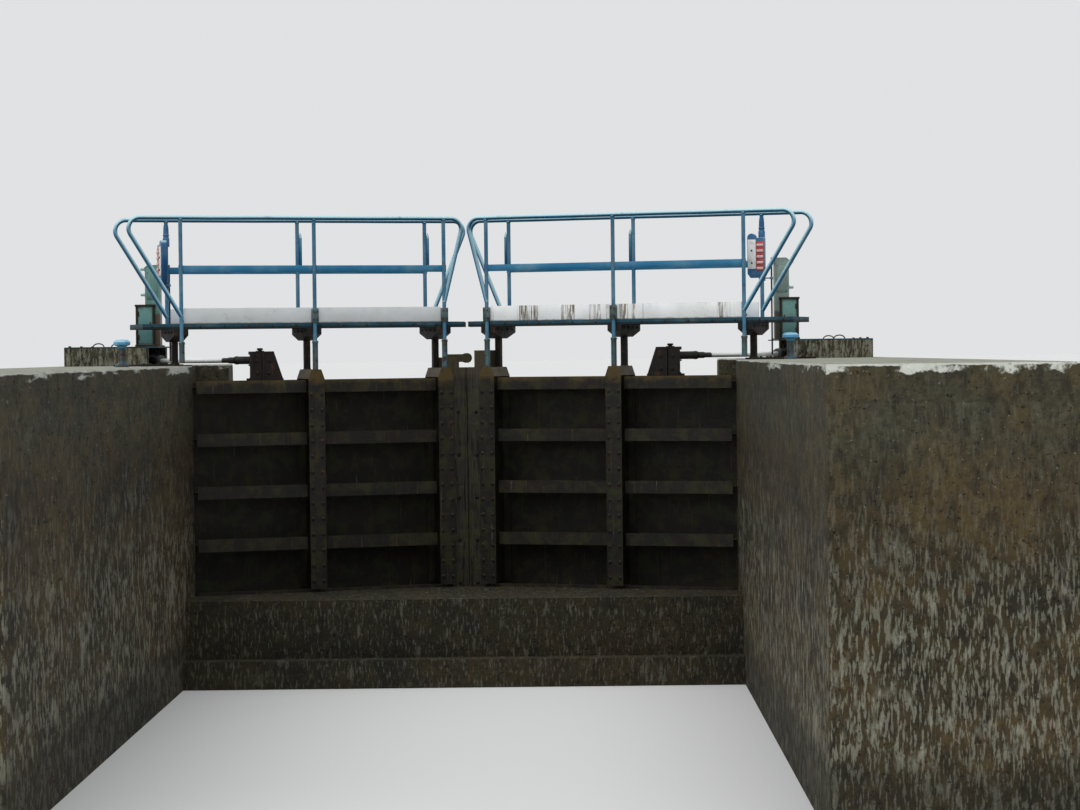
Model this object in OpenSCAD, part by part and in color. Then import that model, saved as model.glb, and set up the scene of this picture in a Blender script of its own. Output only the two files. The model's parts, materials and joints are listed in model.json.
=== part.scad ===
// Upper mitre gates of a narrow canal lock: two steel leaves that meet in a V
// between the chamber walls, each with a railed walkway and its own closing ram.
// X runs across the chamber, +Y upstream, +Z up. The origin is on the centre line,
// in line with the two heel axes, at the foot of the walls.

/* [Chamber and walls] */
// Clear width between the chamber walls
chamber_w = 5200; // [4900:10:5600]
// Height of the coping above the foot of the walls
wall_h = 3000; // [2800:10:3300]
// Thickness of each wall
wall_t = 1600; // [1500:10:2000]
// Length of the walls downstream of the heel axes
wall_down = 10000; // [2000:10:14000]
// Length of the wall end beyond each leaf recess
wall_nib = 400; // [250:10:900]
// Thickness of the coping
coping_h = 250; // [150:5:350]
// Height of the upstream floor, on which the pintles stand
floor_h = 650; // [550:10:750]
// Height of the mitre sill above the floor
sill_rise = 150; // [110:5:200]
// Distance of the fall face downstream of the heel axes
sill_down = 850; // [600:10:1200]
// Height of the step at the foot of the fall face
step_h = 260; // [150:10:400]
// Run of the step at the foot of the fall face
step_run = 240; // [120:10:400]

/* [Leaf] */
// Angle of each closed leaf to the line across the chamber, in degrees
mitre_angle = 20; // [18:0.5:22]
// Distance of the heel axis behind the chamber face
heel_inset = 176; // [165:1:200]
// Radius of the heel post
heel_r = 110; // [100:1:115]
// Running gap round the heel post in the hollow quoin
quoin_gap = 8; // [6:1:15]
// Gap between each mitre face and the centre line
mitre_gap = 3; // [3:0.5:6]
// Height of the leaf's foot above the floor
foot_gap = 60; // [40:5:80]
// Depth of the top girder's upper face below the coping
leaf_drop = 150; // [120:5:220]
// Distance from the leaf's centre plane to the back of the skin plate
skin_back = 100; // [90:1:115]
// Thickness of the skin plate
skin_t = 12; // [8:1:20]
// Distance from the leaf's centre plane to the front of the girders
girder_front = 250; // [220:5:280]
// Thickness of girder and frame webs
web_t = 12; // [8:1:20]
// Height of the girder flanges
flange_h = 120; // [80:5:150]
// Number of horizontal girders
girder_count = 5; // [4:1:6]
// Width of the vertical frames
frame_w = 160; // [130:5:200]
// Distance from the leaf's centre plane to the front of the vertical frames
frame_front = 345; // [340:5:370]
// Depth of the frame heads below the coping
frame_drop = 50; // [30:5:90]
// Height of the left mitre post's head block above the coping
left_mitre_rise = 50; // [30:5:90]
// Height of the right mitre post's head block above the coping
right_mitre_rise = 116; // [60:5:140]
// Radius of the rounded guide on the left head block
guide_r = 48; // [30:1:50]
// Radius of the gudgeon pin on the heel post
gudgeon_r = 45; // [35:1:55]
// Radius of the pintle under the heel post
pintle_r = 40; // [30:1:50]
// Height of the pintle above its plate
pintle_h = 105; // [90:5:130]
// Thickness of the anchor straps and their collar
anchor_t = 16; // [10:1:18]
// Length of each anchor strap
anchor_len = 560; // [400:10:600]

/* [Paddle] */
// Width of the paddle opening in the skin plate
paddle_w = 620; // [400:10:700]
// Height of the paddle opening
paddle_h = 380; // [250:10:420]
// Distance of the paddle opening from the heel axis
paddle_x = 380; // [300:10:450]

/* [Walkway] */
// Distance along the leaf from its last walkway support to the centre line
end_bay = 334; // [326:1:370]
// Height of the deck above the coping
deck_rise = 400; // [380:5:480]
// Distance between the centre lines of the two railings
rail_span = 620; // [560:5:640]
// Depth of the deck's edge angle
deck_edge = 50; // [40:1:70]
// Thickness of the deck plate and its edge angles
deck_t = 8; // [5:1:10]
// Length of the left deck behind the heel axis
left_deck_tail = 370; // [320:10:600]
// Length of the right deck behind the heel axis
right_deck_tail = 470; // [320:10:600]
// Depth of the support beams at the post
corbel_h = 120; // [90:5:150]
// Depth of the support beams at their tips
corbel_tip = 60; // [40:5:80]
// Width of the support beams
corbel_w = 140; // [100:5:180]
// Side of the square support posts
prop_w = 56; // [45:1:70]
// Height of the toe boards
toe_h = 150; // [100:5:180]
// Thickness of the toe boards
toe_t = 18; // [12:1:25]
// Number of flat bearers under the deck
bearer_count = 9; // [4:1:12]

/* [Railings] */
// Height of the top rail's centre line above the deck
rail_rise = 1010; // [900:10:1100]
// Diameter of the bent railing tubes
tube_d = 42; // [38:1:48]
// Diameter of the railing posts
post_d = 38; // [30:1:38]
// Height of the mid rail's centre above the deck
mid_rise = 520; // [450:10:600]
// Height of the flat mid rail
mid_h = 66; // [50:1:80]
// Thickness of the flat mid rail
mid_t = 8; // [6:1:12]
// Bend radius of the railing corners
bend_r = 105; // [85:1:130]
// Reach of the sloping heel end past the heel posts
heel_reach = 580; // [450:10:640]
// Lean of the near railing's mitre end, in degrees
near_lean = 14.5; // [12:0.5:18]
// Lean of the far railing's mitre end, in degrees
far_lean = 22.5; // [20:0.5:25]
// Gap between the railing ends and the centre line
rail_gap = 16; // [10:1:30]
// Diameter of the short sleeves beside the far posts
sleeve_d = 30; // [24:1:34]
// Length of the short sleeves beside the far posts
sleeve_h = 330; // [200:10:400]
// Diameter of the thicker feet of the near posts
foot_d = 54; // [42:1:60]
// Depth of the thicker feet's upper ends below the deck's edge
foot_drop = 120; // [80:5:160]
// Width of the clamps that hold the near posts to the deck
clamp_w = 66; // [54:1:90]
// Height of the clamps above the deck
clamp_h = 136; // [80:2:150]

/* [Paddle gear] */
// Width of the gear's housing
gear_w = 170; // [140:5:180]
// Depth of the gear's housing
gear_d = 58; // [40:1:62]
// Height of the gear's straight-sided housing
gear_h = 360; // [250:5:380]
// Height of the housing's foot above the deck
gear_rise = 412; // [400:2:450]
// Width of the toothed rack on the housing's face
rack_w = 76; // [50:1:80]
// Number of teeth on the rack
rack_teeth = 5; // [3:1:7]
// Turn of the left gear about its post, in degrees
left_gear_turn = -90; // [-95:1:0]
// Diameter of the gear's long rod
gear_rod_d = 16; // [10:1:20]

/* [Rams] */
// Distance of the ram's pin from the heel axis, along the leaf
lug_x = 840; // [820:5:860]
// Height of the ram's centre line above the coping
ram_rise = 45; // [43:1:50]
// Distance of the ram's bank end behind the heel axis
ram_back = 524; // [500:2:540]
// Distance of the ram's bank end upstream of the heel axis
ram_up = 1800; // [1780:10:1820]
// Diameter of the ram's pin
ram_pin_d = 40; // [30:1:50]
// Diameter of the bright rod
rod_d = 50; // [40:1:56]
// Diameter of the thick rod end
rod_end_d = 76; // [66:1:80]
// Length of the thick rod end
rod_end_len = 330; // [250:10:360]
// Diameter of the ram cylinder
ram_d = 110; // [96:1:120]
// Length of the cylinder in front of its trunnions
ram_nose = 280; // [240:10:300]
// Radius of the trunnions
trunnion_r = 30; // [24:1:36]
// Reach of the trunnions above and below the ram's centre line
trunnion_reach = 90; // [75:1:94]
// Side of the block that the trunnions stand on
trunnion_block = 130; // [122:2:140]
// Travel that the ram needs
ram_stroke = 912; // [912:1:930]
// Length of the rod inside the cylinder when the ram is run out
rod_grip = 110; // [90:5:130]
// Height of the rod's eye
eye_h = 60; // [50:1:70]
// Radius of the rod's eye
eye_r = 44; // [38:1:46]
// Radial clearance of the rod and the pins
run_gap = 0.1; // [0.05:0.01:0.1]

/* [Drive] */
// Height of the plinth over each ram pit
plinth_h = 180; // [170:5:190]
// Thickness of the plinth walls
plinth_t = 130; // [100:5:150]
// Thickness of the cover plate
cover_t = 12; // [8:1:15]
// Depth of the ram pit below the coping
pit_depth = 100; // [95:5:140]
// Width of the ram pit behind the ram's bank end
pit_back = 620; // [600:10:660]
// Length of the ram pit downstream of the ram's bank end
pit_front = 380; // [340:10:420]
// Length of the ram pit upstream of the ram's bank end
pit_end = 920; // [900:10:980]
// Distance of the cover's edge behind the heel axis
cover_back = 330; // [320:5:360]
// Distance of the plinth's open side behind the heel axis
plinth_back = 444; // [430:2:480]
// Distance of the left cabinet's far side behind the heel axis
left_cabinet_back = 624; // [574:2:660]
// Distance of the right cabinet's far side behind the heel axis
right_cabinet_back = 576; // [574:2:660]
// Width of the lower drive cabinet
cabinet_w = 193; // [170:1:200]
// Height of the lower drive cabinet
cabinet_h = 430; // [380:5:480]
// Width of the upper drive cabinet
hood_w = 148; // [130:1:160]
// Height of the upper drive cabinet
hood_h = 400; // [350:5:450]
// Depth of the lower drive cabinet
cabinet_d = 240; // [200:5:300]

/* [Bollards] */
// Height of the mooring bollards
bollard_h = 255; // [220:5:280]
// Diameter of a bollard's cap
cap_d = 155; // [130:5:180]
// Diameter of a bollard's stem
stem_d = 66; // [50:1:80]
// Distance of the bollards from the chamber face
bollard_inset = 500; // [460:5:540]
// Distance of the left bollard downstream of the heel axes
left_bollard_down = 1250; // [1000:10:1400]
// Distance of the right bollard downstream of the heel axes
right_bollard_down = 380; // [370:5:900]

/* [Hidden] */
$fn = 48;

// Margin by which a cutter runs past the face that it cuts
over = 10;
// Gap at which two rigid pieces of one body seat on a curved face
seat = 0.3;
// Sideways gap kept by pieces that swing past fixed ones
swing_gap = 40;
// Height above the coping at which the swinging feet end
heel_foot_gap = 24;
// Gap between the two decks' ends and the centre line
deck_gap = 20;

heel_x = chamber_w / 2 + heel_inset;
coping_z = wall_h;
foot_z = floor_h + foot_gap;
leaf_top_z = coping_z - leaf_drop;
frame_top_z = coping_z - frame_drop;
girder_back = skin_back - skin_t;

// Distance along a leaf at which the plane x_gap short of the centre line is met,
// for a point d downstream of the leaf's centre plane
function mitre_at(d, x_gap) = (heel_x - x_gap - d * sin(mitre_angle)) / cos(mitre_angle);

mitre_front_d = 200;
mitre_back = mitre_at(-skin_back, mitre_gap);
mitre_front = mitre_at(mitre_front_d, mitre_gap);

post_pitch = (heel_x / cos(mitre_angle) - end_bay) / 2;
posts_x = [0, post_pitch, 2 * post_pitch];
frames_x = [post_pitch, 2 * post_pitch];
heel_side = 150;
mitre_side = 2 * post_pitch + frame_w / 2;
bay_edges = [heel_side, post_pitch - frame_w / 2, post_pitch + frame_w / 2,
    2 * post_pitch - frame_w / 2];
girder_low_z = foot_z + flange_h / 2;
girder_high_z = leaf_top_z - flange_h / 2;
girder_step = (girder_high_z - girder_low_z) / (girder_count - 1);
paddle_z = foot_z + flange_h + 60;

deck_z = coping_z + deck_rise;
rail_y = rail_span / 2;
tube_r = tube_d / 2;
post_r = post_d / 2;
tube_sides = 16;
bend_steps = 8;
deck_half = rail_y - post_r - seat;
rail_z = deck_z + rail_rise;
mid_z = deck_z + mid_rise;

recess_back_x = heel_x + skin_back + swing_gap + 24;
recess_len = mitre_back + 110;
wall_up = recess_len + wall_nib;

ram_z = coping_z + ram_rise;
lug_at = [-heel_x + lug_x * cos(mitre_angle), lug_x * sin(mitre_angle)];
bank_at = [-heel_x - ram_back, ram_up];
ram_run = norm(bank_at - lug_at);
ram_turn = atan2(bank_at[1] - lug_at[1], bank_at[0] - lug_at[0]);
rod_len = ram_run - ram_nose + rod_grip;
ram_tail = ram_stroke - ram_nose + rod_grip + 2 * over;

pit_x0 = heel_x + ram_back + pit_back;
pit_y0 = ram_up - pit_front;
pit_y1 = ram_up + pit_end;
cover_x = heel_x + cover_back;
opening_x = heel_x + plinth_back;
cabinet_z = coping_z + plinth_h + cover_t;

module on_leaf() { translate([-heel_x, 0, 0]) rotate([0, 0, mitre_angle]) children(); }
module right_side() { mirror([1, 0, 0]) children(); }

// Plan of one wall: its outline less the leaf recess, the hollow quoin and the
// face that the closed leaf lies against
module wall_plan() {
    difference() {
        translate([-chamber_w / 2 - wall_t, -wall_down])
            square([wall_t, wall_down + wall_up]);
        wall_pocket_plan();
    }
}

module wall_pocket_plan() {
    translate([-recess_back_x, 0])
        square([recess_back_x - chamber_w / 2 + over, recess_len]);
    translate([-heel_x, 0]) circle(r = heel_r + quoin_gap, $fn = 64);
    translate([-heel_x, 0]) rotate(mitre_angle)
        translate([0, -heel_r - quoin_gap + 1]) square([3 * heel_r, 2 * heel_r]);
}

module wall() {
    color("dimgray") difference() {
        translate([-chamber_w / 2 - wall_t, -wall_down, 0])
            cube([wall_t, wall_down + wall_up, coping_z - coping_h]);
        translate([0, 0, floor_h])
            linear_extrude(coping_z) wall_pocket_plan();
    }
}

// Pit in which the ram swings, open toward the leaf recess
module pit_space() {
    translate([-pit_x0, pit_y0, coping_z - pit_depth])
        cube([pit_x0 - recess_back_x + over, pit_y1 - pit_y0,
            pit_depth + plinth_h + over]);
}

module coping() {
    color("silver") difference() {
        translate([0, 0, coping_z - coping_h]) linear_extrude(coping_h) wall_plan();
        pit_space();
    }
}

// Downstream edge of the leaves' clearance, as the plan of the mitre sill
module sill_plan(gap) {
    d = girder_front + gap;
    wall_y = heel_inset * tan(mitre_angle) - d / cos(mitre_angle);
    apex_y = heel_x * tan(mitre_angle) - d / cos(mitre_angle);
    polygon([[-chamber_w / 2, -sill_down], [chamber_w / 2, -sill_down],
        [chamber_w / 2, wall_y], [0, apex_y], [-chamber_w / 2, wall_y]]);
}

module sill() {
    color("gray") union() {
        translate([-chamber_w / 2, -sill_down, 0])
            cube([chamber_w, sill_down + wall_up, floor_h]);
        translate([-chamber_w / 2, -sill_down - step_run, 0])
            cube([chamber_w, step_run + over, step_h]);
        translate([0, 0, floor_h - over])
            linear_extrude(sill_rise + over) sill_plan(quoin_gap);
    }
}

module pintle() {
    color("darkslategray") translate([-heel_x, 0, floor_h]) {
        cylinder(h = foot_gap / 2, r = heel_r - 15);
        cylinder(h = pintle_h, r = pintle_r);
    }
}
module pintles() { pintle(); right_side() pintle(); }

// Collar round the gudgeon, with two flat arms laid back over the coping
module anchor() {
    collar_r = gudgeon_r + 38;
    strap_w = 70;
    color("saddlebrown") translate([-heel_x, 0, coping_z]) difference() {
        union() {
            cylinder(h = anchor_t, r = collar_r);
            for (turn = [165, 250]) rotate([0, 0, turn])
                translate([gudgeon_r + 15, -strap_w / 2, 0])
                    cube([anchor_len, strap_w, anchor_t]);
        }
        translate([0, 0, -over])
            cylinder(h = anchor_t + 2 * over, r = gudgeon_r + run_gap);
    }
}

module ram_plinth() {
    color("darkgray") difference() {
        translate([-pit_x0 - plinth_t, pit_y0 - plinth_t, coping_z])
            cube([pit_x0 + plinth_t - opening_x, pit_y1 - pit_y0 + 2 * plinth_t, plinth_h]);
        pit_space();
    }
}

module ram_cover() {
    color("dimgray")
        translate([-pit_x0 - plinth_t, pit_y0 - plinth_t, coping_z + plinth_h])
            cube([pit_x0 + plinth_t - cover_x, pit_y1 - pit_y0 + 2 * plinth_t, cover_t]);
}

// Pedestal of the ram's drive: a lower box between four corner angles with a rim, and
// a narrower hood with bevelled shoulders that stands beside it on the cover
module drive_cabinet(back) {
    cabinet_x = -heel_x - back;
    angle_w = 22;
    set_back = 9;
    rim = 8;
    rim_h = 22;
    bevel = 26;
    hood_x = cabinet_x + cabinet_w - hood_w + 50;
    hood_top = cabinet_h + hood_h;
    color("cadetblue") translate([0, ram_up, cabinet_z]) union() {
        translate([cabinet_x + set_back, set_back, 0])
            cube([cabinet_w - 2 * set_back, cabinet_d - 2 * set_back, cabinet_h]);
        for (x = [cabinet_x, cabinet_x + cabinet_w - angle_w], y = [0, cabinet_d - angle_w])
            translate([x, y, 0]) cube([angle_w, angle_w, cabinet_h]);
        for (z = [0, cabinet_h - rim_h]) translate([cabinet_x - rim, -rim, z])
            cube([cabinet_w + 2 * rim, cabinet_d + 2 * rim, rim_h]);
        translate([hood_x, cabinet_d - 30, 0]) rotate([90, 0, 0])
            linear_extrude(cabinet_d - 60)
                polygon([[0, 0], [hood_w, 0], [hood_w, hood_top - bevel],
                    [hood_w - bevel, hood_top], [bevel, hood_top], [0, hood_top - bevel]]);
    }
}

// Mushroom-shaped mooring bollard on a round flange
module bollard() {
    cap_r = cap_d / 2;
    stem_r = stem_d / 2;
    cap_z = bollard_h - 72;
    color("steelblue") {
        cylinder(h = 16, r = stem_r + 34);
        cylinder(h = cap_z + 5, r = stem_r);
        translate([0, 0, 12]) cylinder(h = 30, r1 = stem_r + 18, r2 = stem_r);
        translate([0, 0, cap_z]) cylinder(h = 22, r1 = stem_r + 6, r2 = cap_r);
        translate([0, 0, cap_z + 22]) cylinder(h = 26, r = cap_r);
        translate([0, 0, cap_z + 48]) cylinder(h = 24, r1 = cap_r, r2 = 0.72 * cap_r);
    }
}

module bollards() {
    bollard_x = chamber_w / 2 + bollard_inset;
    translate([-bollard_x, -left_bollard_down, coping_z]) bollard();
    translate([bollard_x, -right_bollard_down, coping_z]) bollard();
}

module heel_post() {
    color("saddlebrown") on_leaf() difference() {
        union() {
            translate([0, 0, foot_z]) cylinder(h = frame_top_z - foot_z, r = heel_r, $fn = 64);
            translate([0, -heel_r, foot_z])
                cube([heel_side, heel_r + skin_back, frame_top_z - foot_z]);
            cylinder(h = coping_z + heel_foot_gap, r = gudgeon_r);
        }
        translate([0, 0, -over]) cylinder(h = foot_z + over, r = 2 * heel_r);
        translate([0, 0, foot_z - over])
            cylinder(h = floor_h + pintle_h - foot_z + over + 5, r = pintle_r + run_gap);
    }
}

// Solid post whose end face follows the centre line, with a raised block on its head
module mitre_post(rise) {
    block_x = 2 * post_pitch + prop_w / 2 + 4;
    color("#3a3028") on_leaf() {
        translate([0, 0, foot_z]) linear_extrude(frame_top_z - foot_z)
            polygon([[mitre_side, -mitre_front_d], [mitre_front, -mitre_front_d],
                [mitre_back, skin_back], [mitre_side, skin_back]]);
        translate([0, 0, frame_top_z]) linear_extrude(frame_drop + rise)
            polygon([[block_x, -mitre_front_d], [mitre_at(mitre_front_d, 75), -mitre_front_d],
                [mitre_at(-skin_back, 150), skin_back], [block_x, skin_back]]);
    }
}

// Rounded guide that reaches from the left head block across the centre line
module mitre_guide() {
    reach = mitre_at(90, -30) - guide_r;
    guide_t = 60;
    guide_z = coping_z + left_mitre_rise - guide_r + 40;
    color("#3a3028") on_leaf() translate([0, -90, guide_z]) {
        translate([reach, 0, 0]) rotate([90, 0, 0]) cylinder(h = guide_t, r = guide_r);
        translate([mitre_side, -guide_t, -0.8 * guide_r])
            cube([reach - mitre_side, guide_t, 1.6 * guide_r]);
    }
}

module left_mitre_post() {
    mitre_post(left_mitre_rise);
    mitre_guide();
}

module girder(x0, x1, z) {
    translate([x0, -girder_front, z - web_t / 2])
        cube([x1 - x0, girder_front + girder_back, web_t]);
    translate([x0, -girder_front, z - flange_h / 2])
        cube([x1 - x0, web_t, flange_h]);
}

module girders() {
    color("#4a3b30") on_leaf() {
        girder(heel_side, mitre_side, girder_low_z);
        for (i = [1 : girder_count - 1], bay = [0, 2])
            girder(bay_edges[bay], bay_edges[bay + 1], girder_low_z + i * girder_step);
    }
}

// Vertical frame of H section that stands proud of the girders and carries the
// walkway posts on its head
module frame_post(x) {
    base_z = foot_z + flange_h;
    shoulder = 90;
    height = frame_top_z - base_z - shoulder;
    depth = frame_front + girder_back;
    translate([x - web_t / 2, -frame_front, base_z]) cube([web_t, depth, height]);
    for (y = [-frame_front, girder_back - web_t])
        translate([x - frame_w / 2, y, base_z]) cube([frame_w, web_t, height]);
    translate([x, girder_back, frame_top_z - shoulder]) rotate([90, 0, 0])
        linear_extrude(depth) polygon([[-frame_w / 2, 0], [frame_w / 2, 0],
            [0.3 * frame_w, shoulder], [-0.3 * frame_w, shoulder]]);
}
module frames() {
    color("#4a3b30") on_leaf() for (x = frames_x) frame_post(x);
}

module skin() {
    color("#3b332c") on_leaf() difference() {
        translate([heel_side, girder_back, foot_z])
            cube([mitre_side - heel_side, skin_t, leaf_top_z - foot_z]);
        translate([paddle_x, girder_back - over, paddle_z])
            cube([paddle_w, skin_t + 2 * over, paddle_h]);
    }
}

module paddle() {
    lap = 40;
    color("#54483c") on_leaf() {
        translate([paddle_x - lap, skin_back, paddle_z - lap])
            cube([paddle_w + 2 * lap, 14, paddle_h + 2 * lap]);
        translate([paddle_x + paddle_w / 2, skin_back + 14, paddle_z + paddle_h / 2])
            cylinder(h = leaf_top_z - paddle_z - paddle_h / 2, r = 13);
    }
}

module corbel(x) {
    tip = deck_half;
    root = prop_w;
    translate([x + corbel_w / 2, 0, deck_z - deck_edge]) rotate([0, -90, 0])
        linear_extrude(corbel_w)
            polygon([[0, -tip], [-corbel_tip, -tip], [-corbel_h, -root],
                [-corbel_h, root], [-corbel_tip, tip], [0, tip]]);
}

module deck_supports() {
    color("#4e342a") on_leaf() for (i = [0 : 2]) {
        foot = i == 0 ? coping_z + heel_foot_gap : frame_top_z;
        corbel(posts_x[i]);
        translate([posts_x[i] - prop_w / 2, -prop_w / 2, foot])
            cube([prop_w, prop_w, deck_z - deck_edge - corbel_h - foot + over]);
    }
}

module deck_plan(tail) {
    polygon([[-tail, -deck_half], [mitre_at(deck_half, deck_gap), -deck_half],
        [mitre_at(-deck_half, deck_gap), deck_half], [-tail, deck_half]]);
}

module deck(tail) {
    bearer_step = (mitre_at(deck_half, deck_gap) + tail) / (bearer_count + 1);
    color("steelblue") on_leaf() {
        translate([0, 0, deck_z - deck_t]) linear_extrude(deck_t) deck_plan(tail);
        translate([0, 0, deck_z - deck_edge]) linear_extrude(deck_edge) difference() {
            deck_plan(tail);
            offset(delta = -deck_t) deck_plan(tail);
        }
        for (i = [1 : bearer_count])
            translate([-tail + i * bearer_step, -deck_half + 2, deck_z - deck_edge + 4])
                cube([deck_t, 2 * deck_half - 4, deck_edge - 6]);
    }
}

module toe_boards(paint) {
    from = post_r + 12;
    color(paint) on_leaf() for (side = [-1, 1])
        translate([from, side * (deck_half - toe_t / 2 ) - toe_t / 2, deck_z])
            cube([2 * post_pitch - 2 * from, toe_t, toe_h]);
}

// Direction, in the railing's plane, of the path at one of its points
function path_turn(path, i) =
    let (p = path[max(i - 1, 0)], q = path[min(i + 1, len(path) - 1)]) (q - p) / norm(q - p);

// Tube of tube_sides sides along a path in the railing's own plane, closed at both ends
module swept_tube(path) {
    sides = tube_sides;
    rings = len(path);
    points = [for (i = [0 : rings - 1], k = [0 : sides - 1])
        let (t = path_turn(path, i), a = 360 * k / sides, out = tube_r * cos(a))
            [path[i][0] - t[1] * out, tube_r * sin(a), path[i][1] + t[0] * out]];
    side_faces = [for (i = [0 : rings - 2], k = [0 : sides - 1], half = [0, 1])
        let (a = i * sides + k, b = i * sides + (k + 1) % sides)
            half == 0 ? [a, b, b + sides] : [a, b + sides, a + sides]];
    start_cap = [[for (k = [0 : sides - 1]) sides - 1 - k]];
    end_cap = [[for (k = [0 : sides - 1]) (rings - 1) * sides + k]];
    polyhedron(points, concat(side_faces, start_cap, end_cap));
}

// Points of an arc about a centre in the railing's plane
function arc(centre, from, turn) = [for (i = [0 : bend_steps])
    let (a = from + turn * i / bend_steps) centre + bend_r * [cos(a), sin(a)]];

// One railing in its own plane: a single bent tube, its posts and the flat mid rail
module railing(reach, lean, post_feet) {
    mitre_t = bend_r * tan(45 + lean / 2);
    mitre_x = reach + mitre_t - bend_r;
    heel_foot_z = deck_z + 70;
    heel_lean = atan2(heel_reach, rail_z - heel_foot_z);
    heel_t = bend_r * tan(45 + heel_lean / 2);
    slope_z = max(deck_z + 20, rail_z - (mitre_x - 2 * post_pitch) / tan(lean));
    slope_x = mitre_x - (rail_z - slope_z) * tan(lean);
    swept_tube(concat([[slope_x, slope_z]],
        arc([mitre_x - mitre_t, rail_z - bend_r], -lean, 90 + lean),
        arc([-heel_reach + heel_t, rail_z - bend_r], 90, 90 + heel_lean),
        [[0, heel_foot_z]]));
    for (i = [0 : 2]) translate([posts_x[i], 0, post_feet[i]])
        cylinder(h = rail_z - post_feet[i], r = post_r);
    translate([0, -mid_t / 2, mid_z - mid_h / 2]) cube([2 * post_pitch, mid_t, mid_h]);
}

module near_railing() {
    feet = [coping_z + heel_foot_gap, frame_top_z, frame_top_z];
    sleeve_top = deck_z - deck_edge - foot_drop;
    color("steelblue") on_leaf() translate([0, -rail_y, 0]) {
        railing(mitre_at(rail_y, rail_gap + tube_r), near_lean, feet);
        for (i = [0 : 2]) translate([posts_x[i], 0, feet[i]])
            cylinder(h = sleeve_top - feet[i], r = foot_d / 2);
        for (x = frames_x) translate([x - clamp_w / 2, -post_r - 9, deck_z])
            cube([clamp_w, 2 * post_r + 9 + seat, clamp_h]);
    }
}

module far_railing() {
    foot = deck_z - deck_edge;
    color("steelblue") on_leaf() translate([0, rail_y, 0]) {
        railing(mitre_at(-rail_y, rail_gap + tube_r), far_lean, [foot, foot, foot]);
        for (x = frames_x) translate([x + post_r + sleeve_d / 2 - 2, 0, mid_z + 40])
            cylinder(h = sleeve_h, r = sleeve_d / 2);
    }
}

// Hand gear on the far heel post: an arch-topped housing with a cover plate and a
// toothed rack on its face, collars and a pointed cap round the post, and a long rod
module paddle_gear(turn) {
    front = -post_r - seat - gear_d;
    heel_edge = -45;
    rack_x = heel_edge + 2;
    plate_x = rack_x + rack_w + 4;
    plate_w = gear_w + heel_edge - plate_x - 6;
    ring_r = post_r + 14;
    rod_at = [-82, 45];
    color("royalblue") on_leaf() translate([0, rail_y, deck_z + gear_rise])
        rotate([0, 0, turn]) {
            difference() {
                union() {
                    gear_housing(heel_edge, front);
                    translate([0, 0, -58]) cylinder(h = 60, r = ring_r);
                    translate([0, 0, gear_h - 20]) cylinder(h = 112, r = ring_r);
                    translate([0, 0, gear_h + 92])
                        cylinder(h = 100, r1 = ring_r - 6, r2 = post_r + 3);
                    translate([0, 0, -36]) rotate([0, 0, atan2(rod_at[1], rod_at[0])])
                        translate([post_r + 4, -9, 0])
                            cube([norm(rod_at) - post_r, 18, 12]);
                }
                translate([0, 0, -gear_d - over])
                    cylinder(h = gear_h + gear_d + 250, r = post_r + seat);
            }
            translate([plate_x, front - 6, 36]) cube([plate_w, 8, gear_h - 46]);
            for (i = [0 : rack_teeth - 1])
                translate([rack_x, front - 14, 40 + i * (gear_h - 50) / rack_teeth])
                    cube([rack_w, 16, 0.45 * (gear_h - 50) / rack_teeth]);
            translate([rod_at[0], rod_at[1], coping_z + 45 - deck_z - gear_rise])
                cylinder(h = deck_z + gear_rise + 170 - coping_z - 45, r = gear_rod_d / 2);
        }
}

// Flat housing in front of the post, its top rounded over the cover plate and its
// back let into the post's bore by a shallow groove
module gear_housing(heel_edge, front) {
    arch_r = 42;
    groove = 1;
    depth = gear_d + groove;
    translate([heel_edge, front, 0]) cube([gear_w, depth, gear_h]);
    translate([gear_w + heel_edge - arch_r, front + depth, gear_h])
        rotate([90, 0, 0]) cylinder(h = depth, r = arch_r);
    translate([heel_edge + 30, front, -28]) cube([gear_w - 60, depth, 40]);
}

// Boxed bracket on the top girder that holds the ram's pin between two plates
module ram_lug() {
    base_t = 20;
    base_w = 320;
    plate_t = 16;
    cap_t = 30;
    heel_edge = lug_x - 115;
    mitre_edge = lug_x + 110;
    front_y = -110;
    jaw_z = ram_z - 55;
    top_z = coping_z + 130;
    height = top_z - leaf_top_z;
    color("#463a30") on_leaf() {
        translate([heel_edge, front_y, leaf_top_z])
            cube([base_w, girder_back - front_y, base_t]);
        translate([0, front_y + plate_t, 0]) rotate([90, 0, 0]) linear_extrude(plate_t)
            polygon([[heel_edge, leaf_top_z], [heel_edge + base_w, leaf_top_z],
                [mitre_edge, top_z], [heel_edge, top_z]]);
        for (x = [heel_edge, lug_x - 8]) translate([x, front_y - 24, leaf_top_z])
            cube([plate_t, 30, height - 12]);
        translate([heel_edge, front_y, leaf_top_z]) cube([plate_t, 60, height]);
        gusset(mitre_edge - 26, front_y, jaw_z);
        for (jaw = [[top_z - cap_t, cap_t], [jaw_z, plate_t]]) {
            translate([heel_edge, front_y, jaw[0]])
                cube([mitre_edge - heel_edge, -front_y, jaw[1]]);
            translate([lug_x, 0, jaw[0]]) cylinder(h = jaw[1], r = 60);
        }
        translate([lug_x, 0, jaw_z]) cylinder(h = top_z - jaw_z + 12, r = ram_pin_d / 2);
    }
}

// Sloping web that carries the lower jaw from the base plate
module gusset(x, front_y, jaw_z) {
    translate([x, 0, 0]) rotate([90, 0, 90]) linear_extrude(14)
        polygon([[front_y, leaf_top_z], [girder_back, leaf_top_z],
            [girder_back, leaf_top_z + 30], [-30, jaw_z + 8], [front_y, jaw_z + 8]]);
}

// Frame of the ram: its pin at the origin and its line along +X
module on_ram() {
    translate([lug_at[0], lug_at[1], ram_z]) rotate([0, 0, ram_turn]) children();
}

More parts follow.
